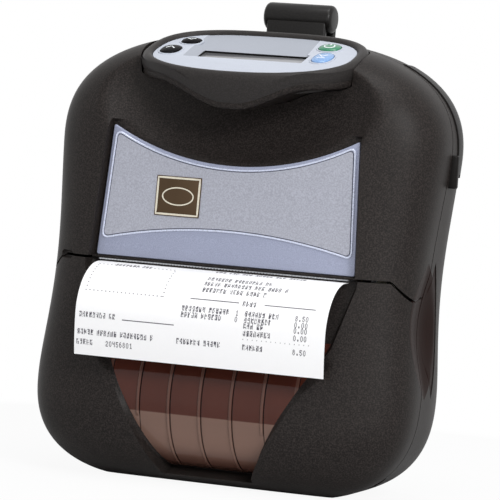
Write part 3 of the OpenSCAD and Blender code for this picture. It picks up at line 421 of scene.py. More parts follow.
def nearest_pair(loops, within):
    """The edges of one border of the outer sheet and of the inner sheet's border next to it."""
    loops.sort(key=lambda loop: min(edge.index for edge in loop))
    outer = [loop for loop in loops if loop[0].verts[0][within] < 0.5]
    inner = [loop for loop in loops if loop[0].verts[0][within] > 0.5]

    def centre(loop):
        return sum((edge.verts[0].co for edge in loop), Vector()) / len(loop)

    one = outer[0]
    other = min(inner, key=lambda loop: (centre(loop) - centre(one)).length + abs(len(loop) - len(one)))
    return one + other


def shell_of(name, cols, rows, surface, soften, out=0, under=WALL):
    """Closed shell between the surfaces at two depths under the skin."""
    skins = [sheet(skin, cols, rows, surface(off)) for skin, off in ((name, out), (name + "_inner", under))]
    return closed(*skins, 1, soften)


def prism(name, outline, low, high, place=None):
    """Closed prism over an outline in millimetres between two heights, moved by a function of its points."""
    bpy.ops.object.select_all(action="DESELECT")
    bpy.ops.mesh.primitive_circle_add(vertices=len(outline), fill_type="NGON")
    obj = added(name)
    place_points(obj, [(x, y, low) for x, y in outline])
    with Editing(obj, whole=True):
        bpy.ops.mesh.extrude_region_move(TRANSFORM_OT_translate={"value": (0, 0, (high - low) * MM)})
        bpy.ops.mesh.select_all(action="SELECT")
        bpy.ops.mesh.normals_make_consistent(inside=False)
    if place:
        placed(obj, place)
        outward(obj)
    return obj


def block(name, low, high, round_by=0, segments=3):
    """Block between two corners in millimetres, with rounded edges."""
    bpy.ops.object.select_all(action="DESELECT")
    low, high = Vector(low), Vector(high)
    bpy.ops.mesh.primitive_cube_add(size=1, location=(low + high) / 2 * MM, scale=(high - low) * MM)
    obj = added(name)
    bpy.ops.object.transform_apply(location=True, rotation=True, scale=True)
    if round_by:
        eased(obj, round_by, segments)
    return obj


def rod(name, radius, start, end, round_by=0, sides=64):
    """Cylinder from one point to another in millimetres, with rounded ends."""
    bpy.ops.object.select_all(action="DESELECT")
    start, end = Vector(start), Vector(end)
    bpy.ops.mesh.primitive_cylinder_add(vertices=sides, radius=radius * MM, depth=(end - start).length * MM)
    obj = added(name)
    turn = (end - start).to_track_quat("Z", "Y").to_matrix().to_4x4()
    obj.data.transform(Matrix.Translation((start + end) / 2 * MM) @ turn)
    if round_by:
        eased(obj, round_by, 4)
    return obj


def loft(name, rings):
    """Closed skin over rings of points in millimetres; open ends are filled, and equal points become a tip."""
    rings = np.asarray(rings, float)
    around = rings.shape[1]
    obj = sheet(name, around, len(rings) - 1, lambda i, j: tuple(rings[j, i % around].T))
    with Editing(obj, "VERT", whole=True):
        bpy.ops.mesh.remove_doubles(threshold=FINE_DOUBLES)
        bpy.ops.mesh.select_all(action="SELECT")
        bpy.ops.mesh.fill_holes(sides=0)
        bpy.ops.mesh.select_all(action="SELECT")
        bpy.ops.mesh.normals_make_consistent(inside=False)
    return obj


def bar(name, path, section, place, loop=False):
    """Bar along a path across and up; its section is a list of steps to the side and outwards."""
    path = np.asarray(path, float)
    if loop:
        ahead = np.roll(path, -1, 0) - np.roll(path, 1, 0)
    else:
        ahead = np.gradient(path, axis=0)
    ahead /= np.linalg.norm(ahead, axis=1)[:, None]
    side = np.stack([-ahead[:, 1], ahead[:, 0]], 1)
    outwards = np.array([step[1] for step in section], float)
    rings = []
    for point, to_side in zip(path, side):
        x, y = np.array([point + to_side * step[0] for step in section]).T
        rings.append(np.stack(np.broadcast_arrays(*place(x, y, outwards)), 1))
    if loop:
        rings.append(rings[0])
    return loft(name, rings)


def ridge(width, height, foot=0.0):
    """Section of a low bar with rounded top edges."""
    w, r = width / 2, min(width, height) * 0.3
    return [(-w, foot), (-w, height - r), (-w + r, height), (w - r, height), (w, height - r), (w, foot)]


def rounded(outline, corners, radius):
    """An outline whose listed corners are turned into arcs that start a radius before them."""
    outline = [np.asarray(p, float) for p in outline]
    count, out = len(outline), []

    def leave(corner, step):
        """The point a radius away from a corner along the outline."""
        k = corner
        while np.linalg.norm(outline[(k + step) % count] - outline[corner]) < radius:
            k += step
        way = outline[(k + step) % count] - outline[corner]
        return outline[corner] + way * radius / np.linalg.norm(way)

    for k, point in enumerate(outline):
        near = [c for c in corners if np.linalg.norm(outline[c] - point) < radius]
        if k in corners:
            a, b = leave(k, -1), leave(k, 1)
            for t in np.linspace(0, 1, 8):
                out.append(a * (1 - t) ** 2 + point * 2 * t * (1 - t) + b * t * t)
        elif not near:
            out.append(point)
    return out


def ovoid(w, h, n, count=48, grow=0.0, middle=(0, 0)):
    """Points of an oval that nears a rectangle as n grows."""
    a = np.linspace(0, 2 * np.pi, count, endpoint=False)
    c, s = np.cos(a), np.sin(a)
    x = middle[0] + (w / 2 + grow) * np.sign(c) * abs(c) ** (2 / n)
    y = middle[1] + (h / 2 + grow) * np.sign(s) * abs(s) ** (2 / n)
    return np.stack([x, y], 1)


def in_x(x, y, h):
    """Turns an outline drawn along Y and Z, raised along X, into place."""
    return h, x, y


def lifted(rise):
    """Raises points by a height."""
    return lambda x, y, h: (x, y, h + rise)


def placed(obj, where):
    """Moves a mesh's points, in millimetres, by a function of x, y and height."""
    co = np.array([v.co for v in obj.data.vertices], float) / MM
    place_points(obj, np.stack(np.broadcast_arrays(*where(co[:, 0], co[:, 1], co[:, 2])), 1))
    return obj


def copied(obj, name):
    """A copy with its own mesh."""
    only(obj)
    bpy.ops.object.duplicate(linked=False)
    return added(name)


def corners(left, low, right, high, inset):
    """The corners of a rectangle, moved inwards."""
    left, low, right, high = left + inset, low + inset, right - inset, high - inset
    return [(left, low), (right, low), (right, high), (left, high)]


def ring_of(spots, count):
    """A closed outline of straight sides between spots, each cut into count steps."""
    spots = np.array(spots, float)
    ahead = np.roll(spots, -1, 0)
    shares = np.linspace(0, 1, count, endpoint=False)[:, None]
    return np.concatenate([a + (b - a) * shares for a, b in zip(spots, ahead)])


def coated(obj, look):
    """Gives a mesh one finish."""
    obj.data.materials.clear()
    obj.data.materials.append(bpy.data.materials["printer_" + look])
    return obj


def done(obj, body, look, nodes=(), angle=32):
    """Gives a finished piece its shading, finish and body, and hides the CAD nodes that it stands for."""
    only(obj)
    bpy.ops.object.shade_smooth_by_angle(angle=math.radians(angle))
    if look:
        coated(obj, look)
    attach(obj, body)
    if nodes:
        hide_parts(*nodes)


# ---------------------------------------------------------------- Finishes


class Link:
    """A shader socket that takes Python arithmetic; each operation adds its Math node."""

    def __init__(self, nodes, socket):
        self.nodes, self.socket = nodes, socket

    def maths(self, operation, *values):
        """Adds a Math node over some values."""
        return self.nodes.node("ShaderNodeMath", {"operation": operation}, dict(enumerate(values)))

    def __add__(self, other):
        return self.maths("ADD", self, other)

    def __sub__(self, other):
        return self.maths("SUBTRACT", self, other)

    def __rsub__(self, other):
        return self.maths("SUBTRACT", other, self)

    def __mul__(self, other):
        return self.maths("MULTIPLY", self, other)

    def __truediv__(self, other):
        return self.maths("DIVIDE", self, other)

    def __pow__(self, other):
        return self.maths("POWER", self, other)

    def __lt__(self, other):
        return self.maths("LESS_THAN", self, other)

    def size(self):
        """The value without its sign."""
        return self.maths("ABSOLUTE", self)

    __radd__, __rmul__ = __add__, __mul__


class Nodes:
    """A node tree that is built one node at a time."""

    def __init__(self, owner):
        owner.use_nodes = True
        self.tree = owner.node_tree
        self.tree.nodes.clear()

    def put(self, socket, value):
        """Links or sets one input."""
        if isinstance(value, Link):
            self.tree.links.new(value.socket, socket)
        else:
            socket.default_value = value

    def node(self, kind, settings=None, inputs=None, output=0):
        """Adds a node with its settings and inputs, and gives the link of one of its outputs."""
        node = self.tree.nodes.new(kind)
        for name, value in (settings or {}).items():
            setattr(node, name, value)
        for name, value in (inputs or {}).items():
            self.put(node.inputs[name], value)
        return Link(self, node.outputs[output]) if node.outputs else node

    def rays(self):
        """Whether light comes straight from the camera, off a glossy piece or through a clear one."""
        kinds = ("Is Camera Ray", "Is Glossy Ray", "Is Transmission Ray")
        return [self.node("ShaderNodeLightPath", output=kind) for kind in kinds]


class Finish(Nodes):
    """One material and the nodes that it is made of."""

    def __init__(self, name, colour, roughness=0.5, metallic=0.0, **sockets):
        self.mat = bpy.data.materials.new("printer_" + name)
        super().__init__(self.mat)
        self.shader = self.tree.nodes.new("ShaderNodeBsdfPrincipled")
        self.out = self.node("ShaderNodeOutputMaterial", {}, {0: Link(self, self.shader.outputs[0])})
        self.mat.diffuse_color = (*colour, 1)
        self.set(Base_Color=(*colour, 1), Roughness=roughness, Metallic=metallic, **sockets)
        self.place = self.node("ShaderNodeTexCoord", output="Object")

    def set(self, **sockets):
        """Sets the shader's sockets, named with _ for each space."""
        for name, value in sockets.items():
            self.put(self.shader.inputs[name.replace("_", " ")], value)

    def noise(self, size, detail=2, rough=0.5, stretch=None):
        """Noise whose features are about size metres across."""
        at = self.place
        if stretch:
            at = self.node("ShaderNodeMapping", {}, {"Vector": at, "Scale": stretch})
        inputs = {"Vector": at, "Scale": 1 / size, "Detail": detail, "Roughness": rough}
        return self.node("ShaderNodeTexNoise", {}, inputs)

    def cells(self, size):
        """Distance to the middle of the nearest of cells about size metres across."""
        return self.node("ShaderNodeTexVoronoi", {}, {"Vector": self.place, "Scale": 1 / size})

    def step(self, value, low, high):
        """0 to 1 as value goes from low to high, smoothly."""
        return self.node("ShaderNodeMapRange", {"interpolation_type": "SMOOTHSTEP"},
                         {"Value": value, "From Min": low, "From Max": high})

    def mix(self, share, a, b):
        """Colour from a to b by a share."""
        inputs = {0: share, 6: a if isinstance(a, Link) else (*a, 1), 7: b if isinstance(b, Link) else (*b, 1)}
        return self.node("ShaderNodeMix", {"data_type": "RGBA"}, inputs, output=2)

    def axis(self, name):
        """One coordinate of the place on the piece, in metres."""
        return self.node("ShaderNodeSeparateXYZ", {}, {0: self.place}, output=name)

    def bump(self, height, depth, strength):
        """Surface relief of a depth in metres."""
        return self.node("ShaderNodeBump", {}, {"Height": height, "Distance": depth, "Strength": strength})


def shade(colour, factor):
    """A colour made lighter or darker."""
    return tuple(min(1, c * factor) for c in colour)


def moulded(name, colour, roughness=0.5, grain=0.00045, depth=0.00002, mottle=0.18, coat=0.0, sheen=0.07):
    """Moulded plastic with a fine spark-eroded grain, slightly uneven in tone and gloss."""
    f = Finish(name, colour, roughness, Coat_Weight=coat, Specular_IOR_Level=sheen)
    fine = f.noise(grain, 3, 0.6)
    broad = f.noise(0.02, 3, 0.5)
    tone = f.mix(f.step(fine, 0.4, 0.68), shade(colour, 1 - mottle), shade(colour, 1 + mottle))
    f.set(Base_Color=f.mix(broad * 0.25, tone, shade(colour, 0.8)))
    f.set(Roughness=(fine - 0.5) * 0.25 + (broad - 0.5) * 0.1 + roughness)
    f.set(Normal=f.bump(fine + f.cells(grain * 2) * 0.5, depth, 0.6))


def brushed(name, colour, roughness=0.3, stretch=(1, 40, 40)):
    """Machined or rolled metal with fine lines along X."""
    f = Finish(name, colour, roughness, 1.0)
    lines = f.noise(0.002, 4, 0.6, stretch=stretch)
    spots = f.noise(0.01, 3, 0.6)
    f.set(Base_Color=f.mix(spots, shade(colour, 0.85), shade(colour, 1.1)))
    f.set(Roughness=lines * 0.2 + spots * 0.12 + (roughness - 0.16))
    f.set(Normal=f.bump(lines, 0.00001, 0.5))


def plain_paper(name, colour):
    """Smooth thermal paper with a faint cloud of fibres."""
    f = Finish(name, colour, 0.62)
    fibres = f.noise(0.0006, 4, 0.7)
    f.set(Base_Color=f.mix(fibres, shade(colour, 0.975), shade(colour, 1.01)))
    f.set(Normal=f.bump(fibres, 0.000006, 0.4))


def wound_paper(name, colour):
    """Paper roll: plain on its round face, fine rings of its layers on its ends."""
    f = Finish(name, colour, 0.7)
    y, z = f.axis("Y") - ROLL_Y * MM, f.axis("Z") - ROLL_Z * MM
    reach = (y * y + z * z) ** 0.5
    rings = f.node("ShaderNodeTexNoise", {"noise_dimensions": "1D"}, {"W": reach, "Scale": 9000, "Detail": 2})
    on_end = f.step(f.axis("X").size(), (PAPER_W / 2 - 0.5) * MM, (PAPER_W / 2 - 0.1) * MM)
    f.set(Base_Color=f.mix(on_end * f.step(rings, 0.4, 0.6) * 0.6, colour, shade(colour, 0.72)))
    f.set(Normal=f.bump(rings * on_end, 0.00004, 0.6))


def circuit(name, colour):
    """Circuit board with traces and pads under green lacquer."""
    f = Finish(name, colour, 0.35, Coat_Weight=0.4)
    inputs = {"Vector": f.place, "Scale": 260, "Mortar Size": 0.02}
    traces = f.node("ShaderNodeTexBrick", {"offset": 0.4}, inputs, output=1)
    pads = f.cells(0.0032) < 0.14
    green = f.mix(traces, colour, shade(colour, 1.7))
    f.set(Base_Color=f.mix(pads, green, (0.55, 0.5, 0.35)), Metallic=pads * 0.8)
    f.set(Normal=f.bump(traces + pads, 0.00003, 0.6))


def smoked(name, colour):
    """Smoked acrylic: glossy, with a painted reflection that makes it paler below a height and fades out towards
    its foot, and with a painted highlight on each rib's crown and painted shade along its right side.
    """
    f = Finish(name, colour, 0.1, Coat_Weight=0.1, Coat_Roughness=0.05, Specular_IOR_Level=0.2)
    flow = f.noise(0.012, 3, 0.6, stretch=(1, 1, 0.4))
    specks = f.noise(0.0009, 2, 0.5)
    z = f.axis("Z")
    # Painted reflection of the floor: paler below SMOKE_SPLIT, and darker towards the foot as painted shade
    reflection_zone = 1 - f.step(z, SMOKE_SPLIT * MM, (SMOKE_SPLIT + 0.5) * MM)
    reflection_share = reflection_zone * (f.step(z, 0.008, 0.017) * 0.75 + 0.25)
    deep = f.mix(flow, shade(colour, 0.88), shade(colour, 1.15))
    painted_reflection = f.mix(f.step(z, 0.016, SMOKE_SPLIT * MM), SMOKE_REFLECTION, shade(SMOKE_REFLECTION, 0.82))
    body = f.mix(reflection_share, deep, painted_reflection)
    from_left = f.axis("X") / MM + (RIB_STEP * 5.5 - RIBS[2])
    rib = from_left.maths("MODULO", from_left, RIB_STEP)
    # Painted highlight on each rib's crown, and painted shade along its right side
    crown = f.step(rib, 5.5, 5.9) * (1 - f.step(rib, 6.9, 7.1))
    side = f.step(rib, 6.95, 7.1) * (1 - f.step(rib, 7.35, 7.5))
    ribs_painted_light = f.mix(side * 0.85, f.mix(crown * 0.28, body, SMOKE_REFLECTION), shade(colour, 0.12))
    f.set(Base_Color=ribs_painted_light)
    f.set(Roughness=f.step(specks, 0.55, 0.8) * 0.15 + 0.09, Alpha=0.96)
    f.set(Normal=f.bump(flow, 0.00015, 0.35))


def screen_grey(name, colour):
    """Grey liquid crystal behind its glass, with painted shade that darkens it to the rear and to the left and
    painted light that brightens its front, in fine rows of dots.
    """
    f = Finish(name, colour, 0.12, Coat_Weight=0.15, Specular_IOR_Level=0.2)
    s, c = math.sin(DISPLAY_TILT), math.cos(DISPLAY_TILT)
    up = (f.axis("Y") - DISPLAY_Y * MM) * c + (f.axis("Z") - DISPLAY_Z * MM) * s
    # Painted shade to the rear and to the left, painted light to the front
    share = f.step(up - f.axis("X") * 0.06, -0.006, 0.006)
    dots = f.node("ShaderNodeTexChecker", {}, {"Vector": f.place, "Scale": 1800}, output=1)
    glass = f.mix(share, shade(colour, 1.15), shade(colour, 0.45))
    f.set(Base_Color=f.mix(dots * 0.06, glass, shade(colour, 0.5)))
    f.set(Roughness=f.noise(0.004, 2) * 0.1 + 0.08)
    f.set(Normal=f.bump(f.noise(0.01, 2), 0.00001, 0.3))


def silvered(name, colour, metallic=0.35, roughness=0.38, grain=0.0004):
    """Silver lacquer with fine flakes."""
    f = Finish(name, colour, roughness, metallic)
    flakes = f.noise(grain, 2, 0.6)
    cloud = f.noise(0.03, 2, 0.5)
    f.set(Base_Color=f.mix(f.step(flakes, 0.3, 0.75), shade(colour, 0.84), shade(colour, 1.13)))
    f.set(Roughness=flakes * 0.2 + cloud * 0.08 + (roughness - 0.14))
    f.set(Normal=f.bump(flakes, 0.00001, 0.4))


# ---------------------------------------------------------------- Sizes and colours that a user may change


def length(name, text, value, low, high):
    """A length in metres between two limits."""
    return bpy.props.FloatProperty(name=name, description=text, default=value, min=low, max=high,
                                   subtype="DISTANCE", unit="LENGTH", precision=5)


def colour(name, text, value):
    """A colour of three linear shares."""
    return bpy.props.FloatVectorProperty(name=name, description=text, default=value, min=0, max=1, size=3,
                                         subtype="COLOR")


class PrinterSizes(bpy.types.PropertyGroup):
    """Sizes of the details that are added to the CAD model."""

    rim_round: length("Shell edge rounding", "Radius of the rounded edges of the housing shells",
                      0.0006, 0.0001, 0.001)
    rib_height: length("Window rib height", "How far the ribs stand out of the window", 0.0007, 0.0002, 0.001)
    key_dome: length("Key dome", "How far the middle of a key rises over its edge", 0.0006, 0, 0.001)
    overlay_round: length("Label corner radius", "Radius of the corners of the silver label",
                          0.0025, 0.0005, 0.004)
    print_height: length("Print thickness", "How far the printed marks stand off the paper",
                         0.00004, 0.00002, 0.0001)


class PrinterColours(bpy.types.PropertyGroup):
    """Colours of the printer's finishes."""

    housing: colour("Housing", "Moulded housing shells and cover", (0.0220, 0.0180, 0.0165))
    bezel: colour("Display collar", "Collar round the display", (0.0285, 0.0255, 0.0245))
    black: colour("Black parts", "Clip, lugs, door and latch", (0.0105, 0.0095, 0.0090))
    smoke: colour("Window", "Smoked window", (0.070, 0.0190, 0.0120))
    fascia: colour("Fascia", "Display fascia", (0.545, 0.575, 0.645))
    label: colour("Label", "Silver label", (0.38, 0.39, 0.45))
    label_foot: colour("Label foot", "Lacquered strip under the label", (0.315, 0.34, 0.455))
    paper: colour("Paper", "Thermal paper", (0.93, 0.925, 0.93))
    ink: colour("Print", "Thermal print on the receipt", (0.13, 0.125, 0.145))
    power: colour("Power key", "Green power key", (0.008, 0.19, 0.085))
    feed: colour("Feed key", "Light blue feed key", (0.19, 0.36, 0.66))


# ---------------------------------------------------------------- The pieces


class BuildFinishes(bpy.types.Operator):
    """Makes the finishes and puts them on the CAD nodes that stay visible"""

    bl_idname = "printer.finishes"
    bl_label = "Finishes"

    def execute(self, context):
        c = context.scene.printer_colours
        # Moulded: roughness, grain and its depth in metres, mottle, coat, sheen
        moulded("housing", c.housing, 0.46, 0.00055, 0.00005, 0.55, 0, 0.13)
        moulded("bezel", c.bezel, 0.45, 0.0005, 0.00002, 0.25, 0, 0.16)
        moulded("clip", c.black, 0.36, 0.0006, 0.00003, 0.3, 0, 0.2)
        moulded("black_parts", c.black, 0.4)
        moulded("fascia", c.fascia, 0.4, 0.0004, 0.000005, 0.04)
        # The sunken field: the fascia's colour darkened, as painted shade
        moulded("fascia_painted_shade", shade(c.fascia, 0.72), 0.45, 0.0004, 0.000005, 0.04)
        moulded("screen_edge", (0.008, 0.008, 0.008), 0.3)
        moulded("key_green", c.power, 0.3, 0.0006, 0.000004, 0.08, 0.5, 0.5)
        moulded("key_blue", c.feed, 0.3, 0.0006, 0.000004, 0.06, 0.5, 0.5)
        moulded("key_black", (0.004, 0.004, 0.005), 0.3, 0.0006, 0.000004, 0.1, 0, 0.04)
        moulded("key_mark", (0.85, 0.88, 0.9), 0.4, 0.0006, 0.000004, 0.04)
        moulded("label_line", (0.05, 0.055, 0.085), 0.4)
        moulded("badge_border", (0.72, 0.67, 0.55), 0.4, 0.0005, 0.000004, 0.06)
        moulded("print", c.ink, 0.7, 0.0004, 0.000002, 0.3)
        moulded("dish", (0.015, 0.0068, 0.0055), 0.45, 0.0009, 0.000006, 0.12, 0, 0.06)
        moulded("rubber", (0.03, 0.03, 0.03), 0.7, 0.0003, 0.00003, 0.3)
        moulded("gear_plastic", (0.75, 0.72, 0.6), 0.4, 0.0006, 0.000008, 0.05)
        moulded("inner_plastic", (0.05, 0.05, 0.055), 0.5, 0.0006)
        moulded("ceramic", (0.7, 0.62, 0.42), 0.3, 0.001, 0.00001, 0.1, 0.3)
        moulded("card", (0.45, 0.33, 0.19), 0.8, 0.0009, 0.00006, 0.2)
        # Silvered: metallic share, roughness, grain in metres
        # The rim round the label's overlay: a paler silver that paints a highlight on it
        silvered("label_edge", (0.62, 0.66, 0.80), 0.2, 0.3)
        silvered("label_face", c.label, grain=0.0006)
        silvered("label_base", c.label_foot, 0.2, 0.4, 0.0003)
        # Brushed: roughness, how the lines are stretched
        brushed("badge", (0.085, 0.056, 0.034), 0.4, (1, 1, 30))
        brushed("dark_steel", (0.09, 0.09, 0.095), 0.38)
        brushed("frame_steel", (0.52, 0.53, 0.55), 0.35)
        brushed("bright_steel", (0.7, 0.7, 0.72), 0.22)
        brushed("motor", (0.5, 0.5, 0.52), 0.3, (40, 1, 1))
        brushed("brass", (0.72, 0.55, 0.25), 0.28, (1, 1, 1))
        brushed("heat_sink", (0.3, 0.3, 0.32), 0.45)
        smoked("smoke", c.smoke)
        screen_grey("screen", (0.33, 0.33, 0.345))
        plain_paper("paper", c.paper)
        wound_paper("wound_paper", c.paper)
        circuit("circuit", (0.02, 0.12, 0.05))
        for part in frame["record"]["subparts"]:
            slot = "wound_paper" if part["node"] == "media_roll" else part["material_slot"]
            if "printer_" + slot in bpy.data.materials:
                coated(frame["nodes"][part["node"]], slot)
        return {"FINISHED"}


def shell_rim(context):
    """How much the shells' rims are rounded, in millimetres."""
    return context.scene.printer_sizes.rim_round / MM


def stations(*parts):
    """Steps of a share: each part is its start, its end and its count."""
    out = [np.linspace(a, b, n, endpoint=False) for a, b, n in parts]
    return np.append(np.concatenate(out), parts[-1][1])


class BuildRearShell(bpy.types.Operator):
    """Builds the rear housing shell with its openings"""

    bl_idname = "printer.rear_shell"
    bl_label = "Rear shell"

    def execute(self, context):
        turns, rows, foot = 150, 91, 0.02
        z_rows = foot + (TOP_Z - foot) * (1 - np.cos(np.pi * np.linspace(0, 1, rows))) / 2
        # The foot and the top are closed by rows of these scales
        cap = np.array([0.02, 0.25, 0.5, 0.75, 0.92])
        heights = np.concatenate([np.full(len(cap), z_rows[0]), z_rows, np.full(len(cap), z_rows[-1])])
        scales = np.concatenate([cap, np.ones(rows), cap[::-1]])

        def surface(off):
            def place(i, j):
                share = np.clip(i / turns, 0, 1) * 2
                near = np.minimum(share, 2 - share)
                a = np.where(share < 1, near**1.7, 2 - near**1.7) * np.pi / 2
                z = np.clip(heights[j], off, TOP_Z - off)
                x = half_w(z, off) * scales[j] * np.sign(np.cos(a)) * abs(np.cos(a)) ** (2 / BACK_N)
                y = contour(z) + back_depth(z, off) * scales[j] * abs(np.sin(a)) ** (2 / BACK_N)
                # The flat back, with the crease before it rounded
                gap = BACK_Y - off - y
                y = BACK_Y - off - np.where(gap > 2, gap, np.maximum(gap + 2, 0) ** 2 / 8)
                return x, np.maximum(y, contour(z) + SEAM / 2), z

            return place

        shell = shell_of("rear_shell", turns, len(heights) - 1, surface, shell_rim(context))
        cut(shell, *rear_cutters())
        done(shell, "root", "housing", ["rear_housing"])
        return {"FINISHED"}


def lens_outline(w, h):
    """Pointed oval, as points across and up."""
    r = (h * h / 4 + w * w / 4) / w
    reach = math.asin(h / 2 / r)
    right = [(r * math.cos(t) - (r - w / 2), r * math.sin(t)) for t in np.linspace(-reach, reach, 24)]
    return right + [(-x, -y) for x, y in right[1:-1]]


def latch_room(gap_w, gap_h):
    """Room for the latch button through the right side, with gaps in its width and height."""
    outline = lens_outline(LATCH_W + gap_w, LATCH_H + gap_h)
    return prism("latch_room", outline, 60, 100, lambda x, y, h: (h, x, y + DISH_Z))


def rear_cutters():
    """Rooms for the latch, port door, battery, clip's post, screws, display pod, dish and the cover's swing."""
    right, foot, side, head = 2 * BODY_HALF, PORT_Z - 0.3, PORT_X - 0.3, TOP_Z + 0.4
    outline = [(60, foot), (right, foot), (right, head), (side, head), (side, 148)]
    port = prism("port_room", outline, PORT_Y[0] - 0.4, PORT_Y[1] + 0.4, lambda x, y, h: (x, h, y))
    limits = [(low - BATTERY_GAP, high + BATTERY_GAP) for low, high in (BATTERY_Y, BATTERY_Z)]
    (front, low), (back, high) = zip(*limits)
    battery = block("battery_room", (-right, front, low), (-65.7, back, high))
    sweep = rod("sweep_room", 6.2, (-200, HINGE_Y, HINGE_Z), (200, HINGE_Y, HINGE_Z))
    post = rod("post_room", 8.2, (0, 22, POST_Z), (0, 32, POST_Z))
    sinks = [rod("screw_sink", 3.35, (x, 29.65, z), (x, 33, z), sides=40) for x, z in SCREW_SPOTS]
    rooms = join(port, battery, sweep, post, *sinks)
    return latch_room(0.8, 2), rooms, pod_cutter("pod_room_rear"), dish_cutter()


def groove_end():
    """Room of the round notch that ends the groove over the cover on the left."""
    z = COVER_TOP + GROOVE / 2
    ends = [(-x, float(skin_y(x, z)) - 0.2, z) for x in (70.5, 64)]
    return rod("groove_end", 1.65, *ends, 1.5, 32)


def dish_cutter():
    """Room of the finger dish and of the liner in it."""
    return loft("dish_room", dish_rings(0, 0.25, 5, 0))


def pod_cutter(name):
    """Room of the display pod over the wave under its front."""
    x, y = lens(np.linspace(0, 2 * np.pi, 96, endpoint=False), 4.9)
    pod = prism(name, list(zip(x, y)), -POD_DEPTH - 0.2, 60, display_point)
    half, foot = 60, 100
    under = [(x, wave_z(x) - 0.3) for x in np.linspace(-half, half, 61)] + [(half, foot), (-half, foot)]
    below = prism("wave_room", under, -150, 150, lambda x, y, h: (x, h, y))
    return cut(pod, below)


class BuildFrontShell(bpy.types.Operator):
    """Builds the front housing with its scoop and the recess for the label"""

    bl_idname = "printer.front_shell"
    bl_label = "Front shell"

    def execute(self, context):
        shares = stations((-3, -2, 34), (-2, -1, 22), (-1, 1, 84), (1, 2, 22), (2, 3, 34))
        rises = stations((0, 0.04, 8), (0.04, 1, 100))

        def surface(off):
            def place(i, j):
                c = shares[i]
                rise = 1 - (1 - rises[j]) ** 1.5
                low = COVER_TOP + GROOVE - np.maximum(across(abs(c), GROOVE_Z, BED_HALF) - CORNER_X, 0)
                z = low + (TOP_Z - off - low) * rise
                x = across(abs(c), z, label_edge(z), off)
                body = skin_y(x, z, off)
                y = deeper(deeper(body, scoop_y(x, z, off), 1.5), label_floor_y(x, z, off), 0.9)
                return before_seam(c, x, y, z)

            return place

        shell = shell_of("front_shell", len(shares) - 1, len(rises) - 1, surface, shell_rim(context))
        cut(shell, pod_cutter("pod_room_front"), dish_cutter(), groove_end())
        sill = block("sill", (-56, -30, 86.7), (56, -24, 87.7), 0.3)
        join(shell, sill)
        done(shell, "root", "housing", ["front_housing"])
        return {"FINISHED"}


class BuildCoverShell(bpy.types.Operator):
    """Builds the media cover with its channel, its cheeks and the window's opening"""

    bl_idname = "printer.cover_shell"
    bl_label = "Cover shell"

    def execute(self, context):
        half = ((1, 1.4, 4), (1.4, 2, 22), (2, 3, 34))
        shares = stations(*((-b, -a, n) for a, b, n in half[::-1]), (-1, 1, 50), *half)
        heights = stations((COVER_FOOT, 7, 22), (7, LEVEL_Z, 52), (LEVEL_Z, 65, 14), (65, COVER_TOP, 22))

        def surface(off):
            def place(i, j):
                c = shares[i]
                z = heights[j] + 0 * c
                drop = np.maximum(cover_across(abs(c), GROOVE_Z) - CORNER_X, 0)
                share = (COVER_TOP - drop - LEVEL_Z) / (COVER_TOP - LEVEL_Z)
                z = np.where(z > LEVEL_Z, LEVEL_Z + (z - LEVEL_Z) * share, z)
                z = np.maximum(z, COVER_FOOT + off * 0.8)
                x = cover_across(abs(c), z, off)
                return before_seam(c, x, deeper(skin_y(x, z, off), channel_y(x, z, off), 1.2), z)

            return place

        cols, rows = len(shares) - 1, len(heights) - 1
        skins = []
        for name, off in (("cover_shell", 0), ("cover_inner", WALL)):
            skin = sheet(name, cols, rows, surface(off))
            open_window(skin, cols, shares, heights)
            skins.append(skin)
        shell = closed(*skins, 2, shell_rim(context) * 0.7)
        hinge = rod("hinge_room", 3.8, (-44, HINGE_Y, HINGE_Z), (44, HINGE_Y, HINGE_Z))
        cut(shell, hinge, dish_cutter(), groove_end())
        done(shell, "cover", "housing", ["media_cover"])
        return {"FINISHED"}


def cell_of(face, cols):
    """Column and row of a face of a sheet, from its lowest corner."""
    ids = [v.index for v in face.verts]
    return min(i % (cols + 1) for i in ids), min(i // (cols + 1) for i in ids)


def open_window(skin, cols, shares, heights):
    """Deletes the faces where the window goes."""
    inside = abs(shares[:-1] + shares[1:]) / 2 < 1
    tall = (heights[:-1] > GLASS_FOOT + 0.3) & (heights[1:] < GLASS_TOP)

    def test(face):
        col, row = cell_of(face, cols)
        return inside[col] and tall[row]

    with Editing(skin) as edit:
        edit.pick(test)
        bpy.ops.mesh.delete(type="FACE")


class BuildWindow(bpy.types.Operator):
    """Builds the smoked window with its five ribs"""

    bl_idname = "printer.window"
    bl_label = "Window"

    def execute(self, context):
        rib = context.scene.printer_sizes.rib_height / MM
        cols, rows, sunk = 60, 75, 0.1
        heights = np.linspace(GLASS_FOOT, GLASS_TOP + 1, rows + 1)

        def place(i, j):
            z = heights[j]
            x = (i / cols * 2 - 1) * (glass_half(z) + 0.2)
            return x, floor_y(x, z) + sunk, z

        glass = sheet("smoked_window", cols, rows, place)
        modify(glass, "SOLIDIFY", thickness=GLASS_T * MM, offset=-1)
        outward(glass)
        ribs = []
        # A rib's cross-section: across, and as shares of its height
        profile = [(-0.95, -0.3), (-0.8, 0.5), (-0.5, 0.9), (0, 1), (0.45, 0.9), (0.65, 0.5), (0.75, -0.3)]
        for middle in RIBS:
            # The outer ribs begin where the window has grown wide enough for them
            low = max(GLASS_FOOT + 0.4, GLASS_FOOT + (abs(middle) + 2.2 - GLASS_FOOT_HALF) * GLASS_SPREAD)
            levels = np.linspace(low, GLASS_TOP, 50)

            def along(i, j):
                side, rise = np.array(profile)[i].T
                x, z = middle + side, levels[j]
                fade = np.clip((z - low) / 1.5, 0, 1)
                return x, floor_y(x, z) + sunk - rise * rib * fade, z

            strip = sheet("rib", len(profile) - 1, len(levels) - 1, along)
            modify(strip, "SOLIDIFY", thickness=0.5 * MM, offset=-1)
            ribs.append(outward(strip))
        join(glass, *ribs)
        done(glass, "cover", "smoke", ["media_window"], 40)
        return {"FINISHED"}


